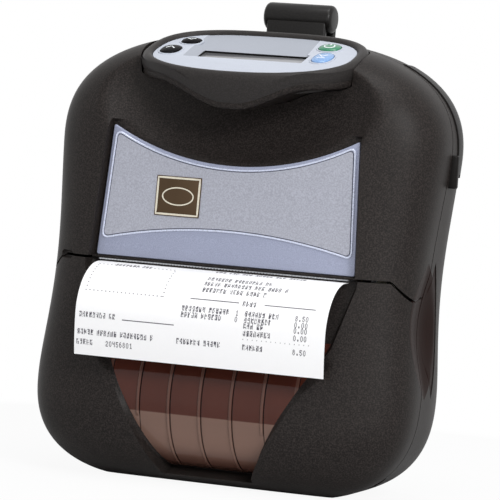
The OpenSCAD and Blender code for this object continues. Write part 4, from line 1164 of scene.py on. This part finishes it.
def pod_rings(steps, raise_by, highest):
    """Rings of a pod over the wave, which is raised; each step is as the collar's comment says."""
    a = np.linspace(0, 2 * np.pi, 144, endpoint=False)
    rings = []
    for scale, grow, height, under in steps:
        x, y = (axis * scale for axis in lens(a, grow))
        bottom = (wave_z(x) + raise_by - DISPLAY_Z - y * math.sin(DISPLAY_TILT)) / math.cos(DISPLAY_TILT)
        bottom = np.clip(bottom, -POD_DEPTH, highest)
        rings.append(np.stack(display_point(x, y, bottom + height if under else height + 0 * x), 1))
    return rings


class BuildDisplay(bpy.types.Operator):
    """Builds the display's collar, its fascia with the sunken screen field, and the screen"""

    bl_idname = "printer.display"
    bl_label = "Display"

    def execute(self, context):
        self.collar()
        self.fascia()
        self.screen()
        return {"FINISHED"}

    def collar(self):
        """The collar, from the middle of its floor over its wall to its underside's middle, and the lip below."""
        # Each step is a scale, a distance outside the fascia, and a height over the fascia (0) or underside (1)
        steps = [(0, -1.6, -8.5, 0), (0.5, -1.6, -8.5, 0), (1, -1.6, -8.5, 0), (1, -1.6, -2.1, 0),
                 (1, 0.15, -2.1, 0), (1, 0.15, -0.2, 0), (1, 0.3, 0.35, 0), (1, 0.7, 0.95, 0),
                 (1, 1.3, 1.3, 0), (1, 2.1, 1.4, 0), (1, 3.0, 1.15, 0), (1, 3.8, 0.5, 0),
                 (1, 4.35, -0.5, 0), (1, 4.65, -2.0, 0), (1, 4.75, 5.0, 1), (1, 4.6, 2.6, 1),
                 (1, 4.3, 1.2, 1), (1, 3.9, 0.4, 1), (1, 3.3, 0, 1)]
        inwards = [0.93, 0.86, 0.79, 0.72, 0.64, 0.55, 0.45, 0.33, 0.2, 0]
        collar = loft("display_collar", pod_rings(steps + [(s, 3.3, 0, 1) for s in inwards], 1.6, -2.6))
        done(collar, "root", "bezel", ["display_bezel"], 50)
        lip = [(s, 3.6, 3.5, 1) for s in inwards[::-1]]
        lip += [(1, 3.6, 3.5, 1), (1, 4.1, 2.6, 1), (1, 4.2, 1.0, 1), (1, 4.1, 0.3, 1), (1, 3.8, 0, 1)]
        band = loft("collar_lip", pod_rings(lip + [(s, 3.8, 0, 1) for s in inwards], 0, -5.5))
        done(band, "root", "housing", (), 50)

    def fascia(self):
        """The fascia with its sunken field, the screen's room, and the keys' rooms with a ring round each."""
        outline = np.stack(lens(np.linspace(0, 2 * np.pi, 120, endpoint=False), 0.05), 1)
        plate = coated(prism("display_face", outline, -2, 0), "fascia")
        # The sunken field from the screen back: place, left top and foot, right foot and top, and depth
        spots = [(-5.3, -27.6, -24.4, 21.9, 22.2, 0.9), (5.2, -28.2, -25.0, 21.0, 21.3, 0.8),
                 (27, -30.8, -27.6, 19.0, 19.3, 0.0)]
        rings = [[(left, y, 0.01), (left_foot, y, -deep), (right_foot, y, -deep), (right, y, 0.01),
                  (right, y, 2), (left, y, 2)] for y, left, left_foot, right_foot, right, deep in spots]
        # The field's faces take the fascia's colour darkened, as painted shade
        field = coated(loft("field_room", rings), "fascia_painted_shade")
        cut(plate, field, block("screen_room", (-22.5, -5, -9), (22.5, 5, 9)))
        for x, y, w, h in KEYS:
            cut(plate, prism("key_room", ovoid(w, h, KEY_N, grow=0.2, middle=(x, y)), -3, 3))
        for x, y, w, h in KEYS:
            around = ovoid(w, h, KEY_N, grow=0.55, middle=(x, y))
            ring = bar("key_ring", around, ridge(0.65, 0.32, -0.3), lifted(0), loop=True)
            join(plate, coated(ring, "fascia"))
        placed(plate, display_point)
        done(plate, "root", None, ["display_fascia"])

    def screen(self):
        """The screen behind its dark edge."""
        w, h = 22.3, 4.85
        glass = coated(block("screen_glass", (-w, -h, -1.7), (w, h, -1.45), 0.08, 2), "screen")
        path = ring_of(corners(-w, -h, w, h, 0.2), 12)
        edge = bar("screen_edge", path, ridge(0.4, 0.85), lifted(-1.6), loop=True)
        join(glass, coated(edge, "screen_edge"))
        placed(glass, display_point)
        done(glass, "root", None, ["lcd_window"])


class BuildKeys(bpy.types.Operator):
    """Builds the four keys with their marks"""

    bl_idname = "printer.keys"
    bl_label = "Keys"

    def execute(self, context):
        dome = context.scene.printer_sizes.key_dome / MM
        names = ("power", "feed", "menu", "select")
        looks = ("key_green", "key_blue", "key_black", "key_black")
        for (x, y, w, h), name, look, marks in zip(KEYS, names, looks, KEY_MARKS):
            def top(a, b):
                share = np.clip(((a - x) / (w / 2)) ** 2 + ((b - y) / (h / 2)) ** 2, 0, 1)
                return 0.75 + dome * (1 - share)

            def grown(grow):
                return ovoid(w, h, KEY_N, grow=grow, middle=(x, y))

            # Each step is a distance outside the key's outline and a height over the fascia
            steps = [(-0.4, -2.4), (0, -2.3), (0, 0.3), (-0.12, 0.55), (-0.35, 0.72)]
            rings = [np.column_stack([grown(grow), np.full(48, z)]) for grow, z in steps]
            for scale in (0.8, 0.6, 0.4, 0.2, 0.0):
                spot = np.array([x, y]) + (grown(-0.5) - (x, y)) * scale
                rings.append(np.column_stack([spot, top(*spot.T)]))
            key = loft(name + "_key", rings)
            coated(key, look)
            for points in marks:
                points = np.array(points, float) * (w / 8, h / 8) + (x, y)
                line = bar("mark", points, ridge(0.5, 0.07, -0.05), lambda a, b, c: (a, b, c + top(a, b)))
                join(key, coated(line, "key_mark"))
            placed(key, display_point)
            done(key, "key_" + name, None, [name + "_key"])
        return {"FINISHED"}


def label_outline(inset):
    """The label's outline: straight foot and sides, and a top edge hollowed by the scoop."""
    arc, hollow_by = 107.0, 13.5
    top_y = LABEL_H - inset
    middle_y = LABEL_H - hollow_by - inset + arc
    half = LABEL_HEAD_W / 2 - inset
    hollow = [(x, middle_y - math.sqrt(arc * arc - x * x)) for x in np.linspace(half, -half, 49)]
    hollow = [(x, min(y, top_y)) for x, y in hollow]
    return [(-LABEL_W / 2 + inset, inset), (LABEL_W / 2 - inset, inset)] + hollow


def overlay_outline(inset):
    """The silver overlay's outline: the label's, with an arched foot."""
    arc, crown, margin = 214.0, 12.7, 1.2
    middle_y = crown - arc
    top = label_outline(margin + inset)[2:]
    half = LABEL_W / 2 - margin - inset - 0.35
    reach = arc + inset
    foot = [(x, middle_y + math.sqrt(reach * reach - x * x)) for x in np.linspace(-half, half, 49)]
    return foot + top


class BuildLabel(bpy.types.Operator):
    """Builds the label panel, its silver overlay and the plain badge plate"""

    bl_idname = "printer.label"
    bl_label = "Label"

    def execute(self, context):
        r = context.scene.printer_sizes.overlay_round / MM
        panel = prism("label_panel", rounded(label_outline(0.05), (0, 1, 2, 50), 1.2), 0.1 - 1.6, 0)
        eased(panel, 0.3, angle=50)
        done(placed(panel, label_point), "root", "label_base", ["label_panel"])

        def outline(inset, radius):
            return rounded(overlay_outline(inset), (0, 48, 49, 97), radius)

        face = coated(prism("label_overlay", outline(0.95, r), -0.05, 0.5), "label_face")
        # The raised rim has a paler silver, a painted highlight
        rim = bar("label_rim", outline(0.45, r + 0.5), ridge(0.8, 0.62, -0.05), lifted(0), loop=True)
        line = bar("label_line", outline(1.05, r), ridge(0.3, 0.55, 0.3), lifted(0), loop=True)
        join(face, coated(rim, "label_edge"), coated(line, "label_line"))
        done(placed(face, label_point), "root", None, ["label_overlay"])
        self.badge()
        return {"FINISHED"}

    def badge(self):
        """Plain plate with a border and an empty oval."""
        x, y, w, h = BADGE
        plate = coated(block("badge", (x, y, 0.45), (x + w, y + h, 0.95), 0.15, 2), "badge")
        path = ring_of(corners(x, y, x + w, y + h, 0.7), 8)
        ring = ovoid(w - 6, h - 9, 2, middle=(x + w / 2, y + h / 2))
        border = bar("badge_border", path, ridge(0.75, 0.2), lifted(0.9), loop=True)
        inside = bar("badge_oval", ring, ridge(0.5, 0.15), lifted(0.92), loop=True)
        join(plate, coated(border, "badge_border"), coated(inside, "badge_border"))
        done(placed(plate, label_point), "root", None, ["badge_plate"])


def paper_path():
    """Start angle on the platen, and the lengths to the platen's top, to the bend, to its end and to the foot."""
    reach = math.hypot(PLATEN_Y - ROLL_Y, PLATEN_Z - ROLL_Z)
    start = math.atan2(PLATEN_Z - ROLL_Z, PLATEN_Y - ROLL_Y) - math.acos((ROLL_R - PLATEN_R) / reach)
    top = (PLATEN_R + PAPER_GAP + PAPER_T) * (math.pi / 2 - start)
    flat = top + PLATEN_Y - BEND_Y
    bend = flat + (BEND_R + PAPER_T) * math.pi / 2
    return start, top, flat, bend, bend + PLATEN_Z + PLATEN_R + PAPER_GAP - BEND_R - RECEIPT_FOOT


def paper_point(x, s, h):
    """A point over the printed side of the receipt: across, along from the platen's rear, and outwards."""
    start, top, flat, bend, foot = paper_path()
    r = PLATEN_R + PAPER_GAP + PAPER_T
    a = start + np.clip(s / r, 0, math.pi / 2 - start)
    y, z = PLATEN_Y + (r + h) * np.cos(a), PLATEN_Z + (r + h) * np.sin(a)
    y = np.where(s > top, PLATEN_Y - np.clip(s - top, 0, flat - top), y)
    reach = BEND_R + PAPER_T + h
    centre_z = PLATEN_Z + PLATEN_R + PAPER_GAP - BEND_R
    b = np.clip((s - flat) / (BEND_R + PAPER_T), 0, math.pi / 2)
    y = np.where(s > flat, BEND_Y - reach * np.sin(b), y)
    z = np.where(s > flat, centre_z + reach * np.cos(b), z)
    share = np.clip((s - bend) / (foot - bend), 0, 1)
    return x, y + RECEIPT_CURL * share**2, np.where(s > bend, centre_z - (s - bend), z)


def dot_words(width, rows, seed):
    """Greeked print: rows of made-up glyphs of dots, with gaps between words."""
    pick = np.random.default_rng(seed)
    line = np.zeros((width, rows), bool)
    at = 0
    while at + GLYPH_STEP < width:
        for _ in range(pick.integers(3, 9)):
            if at + GLYPH_STEP >= width:
                break
            glyph = pick.random((GLYPH_W, rows)) < 0.5
            glyph[0 if pick.random() < 0.6 else GLYPH_W - 1] = True
            line[at:at + GLYPH_W] = glyph
            at += GLYPH_STEP
        at += GLYPH_STEP - 1
    return line


# Rows of dots from the top down
DIGITS = {
    "0": "0110 1001 1001 1001 1001 0110", "1": "0010 0110 0010 0010 0010 0111",
    "2": "0110 1001 0001 0110 1000 1111", "4": "1001 1001 1111 0001 0001 0001",
    "5": "1111 1000 1110 0001 1001 0110", "6": "0110 1000 1110 1001 1001 0110",
    "8": "0110 1001 0110 1001 1001 0110", ".": "0000 0000 0000 0000 0110 0110",
}


def dot_number(text):
    """A plain number in dots, across and up."""
    columns = [np.array([[bit == "1" for bit in row] for row in DIGITS[c].split()]).T[:, ::-1] for c in text]
    gap = np.zeros((GLYPH_STEP - GLYPH_W, GLYPH_H), bool)
    return np.concatenate([part for column in columns for part in (column, gap)])


PRINT_W, PRINT_FOOT, PRINT_TOP = 102, 3.4, 46.4
DOT_X, DOT_S, GLYPH_W, GLYPH_H, GLYPH_STEP = 0.24, 0.36, 4, 6, 6

# Greeked words and rules by their left and right ends and their height over the receipt's foot, and plain
# numbers by their right end and height
PRINT_WORDS = (
    (-50.9, -43.2, 4.2), (-50.7, -17.6, 8.4), (-50.2, -33.4, 15.1), (-42, -25, 41.2), (-8.7, 11.4, 8.4),
    (-7.4, 13.2, 21.2), (-7.4, 12.2, 18.8), (17, 24.2, 25.1), (-1, 27, 29.8), (-1.5, 34.7, 33.1),
    (-1, 26.7, 36.5), (-0.6, 39.4, 44.0), (18.7, 34, 21.2), (18.7, 32.5, 18.8), (18.7, 28, 16.4),
    (18.7, 30.5, 13.6), (18.7, 29.9, 8.4),
)
PRINT_RULES = ((-32, -10, 15.1), (-4.8, 15.4, 26.1), (26, 47, 26.1))
PRINT_NUMBERS = (("20456801", -27, 4.2), ("1", 16.2, 21.2), ("0", 16.2, 18.8), ("8.50", 45, 21.2),
                 ("0.00", 45, 18.8), ("0.00", 45, 16.4), ("0.00", 45, 13.6), ("8.50", 45, 8.4))
# The dotted rule, and the dotted frame's foot, top and sides
DOTTED_X, DOTTED_W, DOTTED_Z, BOX_X, BOX_W, BOX_Z = 18.7, 27.5, 12.2, (-49.3, -16.5), 33, (26.0, 41.8)


def printed_page(cols, rows):
    """Which dots of the receipt are printed, across from the left and up from the foot."""
    page = np.zeros((cols, rows), bool)

    def put(x, rise, part):
        left, low = int((x + PRINT_W / 2) / DOT_X), int((rise - PRINT_FOOT) / DOT_S)
        part = part[:cols - left, :rows - low]
        page[left:left + part.shape[0], low:low + part.shape[1]] |= part

    for seed, (x0, x1, rise) in enumerate(PRINT_WORDS):
        put(x0, rise, dot_words(int((x1 - x0) / DOT_X), GLYPH_H, seed))
    for x0, x1, rise in PRINT_RULES:
        put(x0, rise, np.ones((int((x1 - x0) / DOT_X), 1), bool))
    for text, right, rise in PRINT_NUMBERS:
        part = dot_number(text)
        put(right - len(part) * DOT_X, rise, part)
    put(DOTTED_X, DOTTED_Z, (np.arange(int(DOTTED_W / DOT_X)) % 8 < 1)[:, None])
    for rise in BOX_Z:
        put(BOX_X[0], rise, (np.arange(int(BOX_W / DOT_X)) % 7 < 2)[:, None])
    for x in BOX_X:
        put(x, BOX_Z[0], np.tile(np.arange(int((BOX_Z[1] - BOX_Z[0]) / DOT_S)) % 5 < 1, (2, 1)))
    return page


class BuildReceipt(bpy.types.Operator):
    """Builds the printed receipt, curling over the cover"""

    bl_idname = "printer.receipt"
    bl_label = "Receipt"

    def execute(self, context):
        start, top, flat, bend, foot = paper_path()
        xs = np.linspace(-PAPER_W / 2, PAPER_W / 2, 9)
        steps = stations((0, top, 8), (top, flat, 6), (flat, bend, 40), (bend, foot, 16))
        paper = sheet("receipt", 8, len(steps) - 1, lambda i, j: paper_point(xs[i], steps[j], 0))
        modify(paper, "SOLIDIFY", thickness=0.22 * MM, offset=1)
        done(outward(paper), "cover", "paper", ["receipt"])
        cols, rows = int(PRINT_W / DOT_X), int((PRINT_TOP - PRINT_FOOT) / DOT_S)
        page = printed_page(cols, rows)
        marks = sheet("receipt_print", cols, rows,
                      lambda i, j: paper_point((i - cols / 2) * DOT_X, foot - PRINT_FOOT - j * DOT_S, 0.005))
        with Editing(marks) as edit:
            edit.pick(lambda face: not page[cell_of(face, cols)])
            bpy.ops.mesh.delete(type="FACE")
            bpy.ops.mesh.select_all(action="SELECT")
            bpy.ops.mesh.edge_split(type="EDGE")
        modify(marks, "SOLIDIFY", thickness=context.scene.printer_sizes.print_height, offset=1)
        done(marks, "cover", "print", (), 20)
        return {"FINISHED"}


def side_x(y, z, off=0):
    """How far out the body's side is at a place on either side of the parting plane."""
    seam = contour(z)
    rear = oval((y - seam) / back_depth(z, off), BACK_N)
    front = oval((seam - y) / front_depth(z, off), NOSE_N)
    return half_w(z, off) * np.where(y > seam, rear, front)


def dish_depth(y, z):
    """Depth of the finger dish at a place on the side, 0 outside it."""
    # A pointed oval scaled by s has arcs of radius s r, with middles that lie s shift beyond the dish's middle
    r = (DISH_H**2 + DISH_W**2) / 4 / DISH_W
    shift = r - DISH_W / 2
    beside, up = abs(y - DISH_Y), abs(z - DISH_Z)
    rest = r * r - shift**2
    share = (beside * shift + np.sqrt((beside * shift) ** 2 + rest * (beside**2 + up**2))) / rest
    return DISH_DEPTH * np.clip(1 - share**2, 0, 1) ** DISH_N


def dish_rings(grow, below, above, hollow):
    """Rings of a piece at the finger dish, from the middle of its floor to its edge and back over its lid.

    The floor lies below the dish, and the lid above it, or above the body's side if hollow is 0 and not 1.
    """
    edge = np.array(lens_outline(DISH_W + 2 * grow, DISH_H + 2 * grow))
    scales = np.linspace(0, 1, 13)
    rings = []
    for scale, lid in [(s, False) for s in scales] + [(s, True) for s in scales[::-1]]:
        y, z = DISH_Y + edge[:, 0] * scale, DISH_Z + edge[:, 1] * scale
        depth = DISH_DEPTH * (1 - scale**2) ** DISH_N
        out = above - hollow * depth if lid else -depth - below
        rings.append(np.column_stack([side_x(y, z) + out, y, z]))
    return rings


def trimmed(obj, spot, way):
    """Keeps the part of a closed piece that lies on the side of a plane that way points to."""
    with Editing(obj, whole=True):
        bpy.ops.mesh.bisect(plane_co=Vector(spot) * MM, plane_no=way, use_fill=True, clear_inner=True)
    return obj


class BuildLatch(bpy.types.Operator):
    """Builds the finger dish in the right side and the latch button in it"""

    bl_idname = "printer.latch"
    bl_label = "Latch"

    def execute(self, context):
        # Each liner's name and body, its side of the parting plane, and its side of the groove over the cover
        for name, body, ahead, over in (("dish_cover", "cover", -1, -1), ("dish_front", "root", -1, 1),
                                        ("dish_rear", "root", 1, 0)):
            liner = loft(name, dish_rings(-0.05, 0.9, -0.001, 1))
            trimmed(liner, (0, contour(SLOT_Z) + ahead * SEAM / 2, SLOT_Z), (0, ahead, -PART_LEAN * ahead))
            if over:
                trimmed(liner, (CORNER_X, 0, COVER_TOP + (GROOVE if over > 0 else 0)), (over, 0, over))
            else:
                cut(liner, latch_room(0.6, 1))
            done(liner, body, "dish", (), 40)
        edge = np.array(lens_outline(LATCH_W, LATCH_H))
        rings = []
        # Each step is a scale and a depth under the button's face
        face = [(scale, 0) for scale in np.linspace(0, 0.97, 9)]
        for scale, down in face + [(1, 0.25), (1, 2.5), (0.5, 2.5), (0, 2.5)]:
            y, z = edge[:, 0] * scale, DISH_Z + edge[:, 1] * scale
            depth = dish_depth(y, z) + 0.2
            rings.append(np.column_stack([side_x(y, z) - np.maximum(depth, 0.3) - down, y, z]))
        button = loft("latch_button", rings)
        stem = block("latch_stem", (70, -4, 60), (73.4, 4, 76), 0.4)
        join(button, stem)
        done(button, "latch", "dish", ["latch_button"], 40)
        return {"FINISHED"}


class BuildPortDoor(bpy.types.Operator):
    """Builds the rubber door over the sockets in the right shoulder"""

    bl_idname = "printer.port_door"
    bl_label = "Port door"

    def execute(self, context):
        cols, rows = 14, 40
        ys = np.linspace(*PORT_Y, cols + 1)
        # The door ends where the shoulder has come in to its width
        climb = np.linspace(140, 177.3, 240)
        ends = np.array([np.interp(-PORT_X - 0.4, -side_x(y, climb), climb) for y in ys])

        def surface(off):
            def where(i, j):
                y, share = ys[i], j / rows
                z = PORT_Z + (ends[i] - PORT_Z) * (1 - (1 - share) ** 1.8)
                return side_x(y, z, off), y + 0 * z, z

            return where

        door = shell_of("port_door", cols, rows, surface, 0.5, -0.5, 1.9)
        cut(door, rod("finger_notch", 2.6, (70, 15, PORT_Z - 0.8), (90, 15, PORT_Z - 0.8)))
        done(door, "port_door", "black_parts", ["port_cover"], 40)
        return {"FINISHED"}


class BuildLugs(bpy.types.Operator):
    """Builds the two lugs for a shoulder strap"""

    bl_idname = "printer.lugs"
    bl_label = "Strap lugs"

    def execute(self, context):
        reach = float(side_x(3, sum(LUG_Z) / 2))
        lug = prism("strap_lug", ovoid(LUG_W, LUG_D, 4, 32, middle=(reach - 1.1, LUG_Y)), *LUG_Z)
        eased(lug, 0.7, 4, 50)
        cut(lug, rod("strap_hole", 0.75, (reach + 1.4, LUG_Y, 120), (reach + 1.4, LUG_Y, 140), sides=24))
        other = copied(lug, "strap_lug_left")
        placed(other, lambda x, y, h: (-x, y, h))
        outward(other)
        join(lug, other)
        done(lug, "root", "black_parts", ["strap_lugs"])
        return {"FINISHED"}


class BuildBattery(bpy.types.Operator):
    """Builds the battery pack with its side face, and its release key"""

    bl_idname = "printer.battery"
    bl_label = "Battery"

    def patch(self, name, ys, zs, soften, out, under):
        """Piece of the left side's wall between limits, each with its count of steps."""
        ys, zs = np.linspace(*ys), np.linspace(*zs)

        def surface(off):
            return lambda i, j: (-side_x(ys[i], zs[j], off), ys[i] + 0.0 * j, zs[j])

        return shell_of(name, len(ys) - 1, len(zs) - 1, surface, soften, out, under)

    def execute(self, context):
        (left, right), (front, back), (low, high) = BATTERY_X, BATTERY_Y, BATTERY_Z
        outline = [(left, front), (right, front), (right, back), (left + 2.5, back), (left, back - 2.5)]
        pack = eased(prism("battery_pack", outline, low, high), 0.8)
        face = self.patch("battery_face", (front, back, 15), (low, high, 40), 0.4, 0, WALL)
        cut(face, block("key_room", (-90, 9.3, 119.2), (-70, 15.7, 133.2)))
        neck = block("battery_neck", (-79, 8.5, 103), (-68, 15.5, 130), 0.5)
        pads = [coated(block("contact", (-3.2, 9, z), (-2.85, 13, z + 4), 0.1, 2), "brass")
                for z in (103, 111, 119, 127)]
        grips = []
        for z in (105, 108, 111, 114):
            grip = rod("grip", 0.5, (0, 8.5, z), (0, 21, z), 0.2, 16)
            grips.append(placed(grip, lambda x, y, h: (x - side_x(y, z) - 0.05, y, h)))
        for piece in (pack, face, neck, *grips):
            coated(piece, "housing")
        join(pack, face, neck, *pads, *grips)
        done(pack, "battery", None, ["battery_pack"])
        key = self.patch("battery_key", (9.6, 15.4, 9), (121.1, 132.9, 17), 0.4, -0.7, 2.2)
        done(key, "battery_key", "black_parts", ["battery_latch"], 40)
        return {"FINISHED"}


class BuildClip(bpy.types.Operator):
    """Builds the belt clip: its roll, its two leaves and its turning disc"""

    bl_idname = "printer.clip"
    bl_label = "Belt clip"

    def execute(self, context):
        near, far = CLIP_Y - CLIP_R, CLIP_Y + CLIP_R
        roll = rod("belt_clip", CLIP_R, (-CLIP_W / 2, CLIP_Y, CLIP_Z), (CLIP_W / 2, CLIP_Y, CLIP_Z), 1.9)
        inner = [(31.5, POST_Z), (33.9, POST_Z), (near + 3.4, CLIP_Z), (near + 0.3, CLIP_Z)]
        bend, tip = 148, 122
        outer = [(far - 2.4, CLIP_Z), (far, CLIP_Z), (far - 1, bend), (far - 3, tip), (far - 5.4, tip),
                 (far - 3.4, bend)]
        parts = [prism("inner_leaf", inner, -12.7, 12.7, in_x), prism("outer_leaf", outer, -13.7, 13.7, in_x)]
        # The round parts on the clip's axis: radius and two ends
        rounds = (("clip_disc", 12, 31.5, 33.5), ("clip_post", 6, 26.7, 31.6), ("clip_flange", 7.6, 26.7, 28.2))
        disc, post, flange = (rod(name, radius, (0, start, POST_Z), (0, end, POST_Z))
                              for name, radius, start, end in rounds)
        for part in (*parts, disc):
            eased(part, 0.7, angle=40)
        parts += [disc, eased(post, 0.3, 4), eased(flange, 0.3, 4)]
        for k in range(4):
            y, z = far - 2.2, 126 + 3 * k
            parts.append(rod("clip_grip", 0.7, (-10, y - 0.07 * k, z), (10, y + 0.1 * k, z), 0.3, 20))
        join(roll, *parts)
        done(roll, "clip", "clip", ["belt_clip"])
        return {"FINISHED"}


class BuildScrews(bpy.types.Operator):
    """Builds the six housing screws, with cross slots"""

    bl_idname = "printer.screws"
    bl_label = "Screws"

    def execute(self, context):
        head = rod("housing_screws", 3.1, (0, 29.9, 0), (0, 30.85, 0), 0.25, 48)
        for w, h in ((1.8, 0.4), (0.4, 1.8)):
            cut(head, block("slot", (-w, 30.2, -h), (w, 32, h)))
        join(head, rod("screw_shank", 1.5, (0, 24, 0), (0, 30, 0), 0.3, 24))
        copies = [copied(head, "screw") for _ in SCREW_SPOTS[1:]]
        for screw, (x0, z0) in zip([head, *copies], SCREW_SPOTS):
            placed(screw, lambda x, y, h: (x + x0, y, h + z0))
        join(head, *copies)
        done(head, "root", "dark_steel", ["housing_screws"])
        return {"FINISHED"}


WHITE, SKY, SKY_POWER = (1, 1, 1, 1), (0.95, 0.97, 1, 1), 0.37
# The floor is shaded near the object and white further off, between these distances in metres
FLOOR_GREY, FLOOR_WHITE, FLOOR_FADE = (0.75, 0.75, 0.75), 0.93, (0.1, 0.3)
# Each lamp's name, place and width in metres, and power in watts
LAMPS = (("key_light", (0.95, -0.9, 0.8), 0.45, 12), ("fill_light", (0.3, -1.3, 0.3), 0.8, 1.6),
         ("top_light", (0.15, -0.25, 1.3), 0.6, 7.5))
# The camera in degrees and metres, and where the point that it looks at lies in the picture, in pixels
LOOK_AT, LOOK_AT_PIXEL = Vector((0, 0, 0.088)), (250.44, 263.275)
VIEW_AZ, VIEW_EL, VIEW_ROLL, VIEW_AWAY = 21, 3, 4.01, 1.3
PICTURE, PIXELS_PER_MM, FILM_WIDTH = 500, 2.502955, 36


class BuildStage(bpy.types.Operator):
    """Sets the floor, the lights, the background and the camera"""

    bl_idname = "printer.stage"
    bl_label = "Stage"

    def execute(self, context):
        self.floor()
        self.world(context)
        self.lamps()
        self.camera(context)
        context.scene.view_settings.view_transform = "Standard"
        return {"FINISHED"}

    def floor(self):
        """Pale floor that keeps the shadow near the object and turns into the white background further off."""
        bpy.ops.object.select_all(action="DESELECT")
        bpy.ops.mesh.primitive_plane_add(size=8, location=(0, 0, 0))
        ground = added("floor")
        f = Finish("floor_white", FLOOR_GREY, 0.9)
        x, y = f.axis("X"), f.axis("Y")
        far = f.step((x * x + y * y) ** 0.5, *FLOOR_FADE)
        straight, glossy, through = f.rays()
        white = f.node("ShaderNodeEmission", {}, {"Color": WHITE, "Strength": 1})
        seen = far.maths("MAXIMUM", far, FLOOR_WHITE) * straight + far * (glossy + through)
        both = f.node("ShaderNodeMixShader", {}, {0: seen, 1: Link(f, f.shader.outputs[0]), 2: white})
        f.put(f.out.inputs[0], both)
        coated(ground, "floor_white")

    def world(self, context):
        """Dim sky, which is white where it is seen straight, mirrored or through a clear piece."""
        world = context.scene.world = bpy.data.worlds.new("studio")
        sky = Nodes(world)
        straight, glossy, through = sky.rays()
        seen = straight.maths("MAXIMUM", straight, glossy.maths("MAXIMUM", glossy, through))
        dim, white = (sky.node("ShaderNodeBackground", {}, {0: colour, 1: power})
                      for colour, power in ((SKY, SKY_POWER), (WHITE, 1)))
        both = sky.node("ShaderNodeMixShader", {}, {0: seen, 1: dim, 2: white})
        sky.node("ShaderNodeOutputWorld", {}, {0: both})

    def lamps(self):
        """Square lamps that face the object."""
        for name, spot, size, power in LAMPS:
            bpy.ops.object.light_add(type="AREA", location=spot)
            lamp = bpy.context.active_object
            lamp.name = name
            lamp.data.size = size
            lamp.data.energy = power
            lamp.rotation_euler = (LOOK_AT - Vector(spot)).to_track_quat("-Z", "Y").to_euler()

    def camera(self, context):
        """Camera placed and turned as the photograph's was."""
        az, el, roll = (math.radians(angle) for angle in (VIEW_AZ, VIEW_EL, VIEW_ROLL))
        back = Vector((math.sin(az) * math.cos(el), -math.cos(az) * math.cos(el), math.sin(el)))
        right = Vector((math.cos(az), math.sin(az), 0))
        up = back.cross(right)
        across_view = right * math.cos(roll) + up * math.sin(roll)
        up_view = up * math.cos(roll) - right * math.sin(roll)
        data = bpy.data.cameras.new("view")
        cam = bpy.data.objects.new("view", data)
        context.scene.collection.objects.link(cam)
        turn = Matrix((across_view, up_view, back)).transposed().to_4x4()
        cam.matrix_world = Matrix.Translation(LOOK_AT + back * VIEW_AWAY) @ turn
        data.sensor_width = FILM_WIDTH
        data.lens = PIXELS_PER_MM * VIEW_AWAY / MM / PICTURE * FILM_WIDTH
        data.shift_x = (PICTURE / 2 - LOOK_AT_PIXEL[0]) / PICTURE
        data.shift_y = (LOOK_AT_PIXEL[1] - PICTURE / 2) / PICTURE
        data.clip_start, data.clip_end = 0.05, 30
        context.scene.camera = cam


class PrinterPanel(bpy.types.Panel):
    """Lists the printer's pieces, sizes and colours"""

    bl_label = "Thermal printer"
    bl_idname = "VIEW3D_PT_printer"
    bl_space_type = "VIEW_3D"
    bl_region_type = "UI"
    bl_category = "Printer"

    def draw(self, context):
        for piece in PIECES:
            self.layout.operator(piece.bl_idname)
        for group in (context.scene.printer_sizes, context.scene.printer_colours):
            for name in group.__annotations__:
                self.layout.prop(group, name)


PIECES = (BuildFinishes, BuildRearShell, BuildFrontShell, BuildCoverShell, BuildWindow, BuildDisplay, BuildKeys,
          BuildLabel, BuildReceipt, BuildLatch, BuildPortDoor, BuildLugs, BuildBattery, BuildClip, BuildScrews,
          BuildStage)
CLASSES = (PrinterSizes, PrinterColours, *PIECES, PrinterPanel)


def register():
    for cls in CLASSES:
        bpy.utils.register_class(cls)
    bpy.types.Scene.printer_sizes = bpy.props.PointerProperty(type=PrinterSizes)
    bpy.types.Scene.printer_colours = bpy.props.PointerProperty(type=PrinterColours)


def unregister():
    del bpy.types.Scene.printer_sizes
    del bpy.types.Scene.printer_colours
    for cls in reversed(CLASSES):
        bpy.utils.unregister_class(cls)


def main():
    register()
    for piece in PIECES:
        group, name = piece.bl_idname.split(".")
        getattr(getattr(bpy.ops, group), name)()


if __name__ == "__main__":
    main()
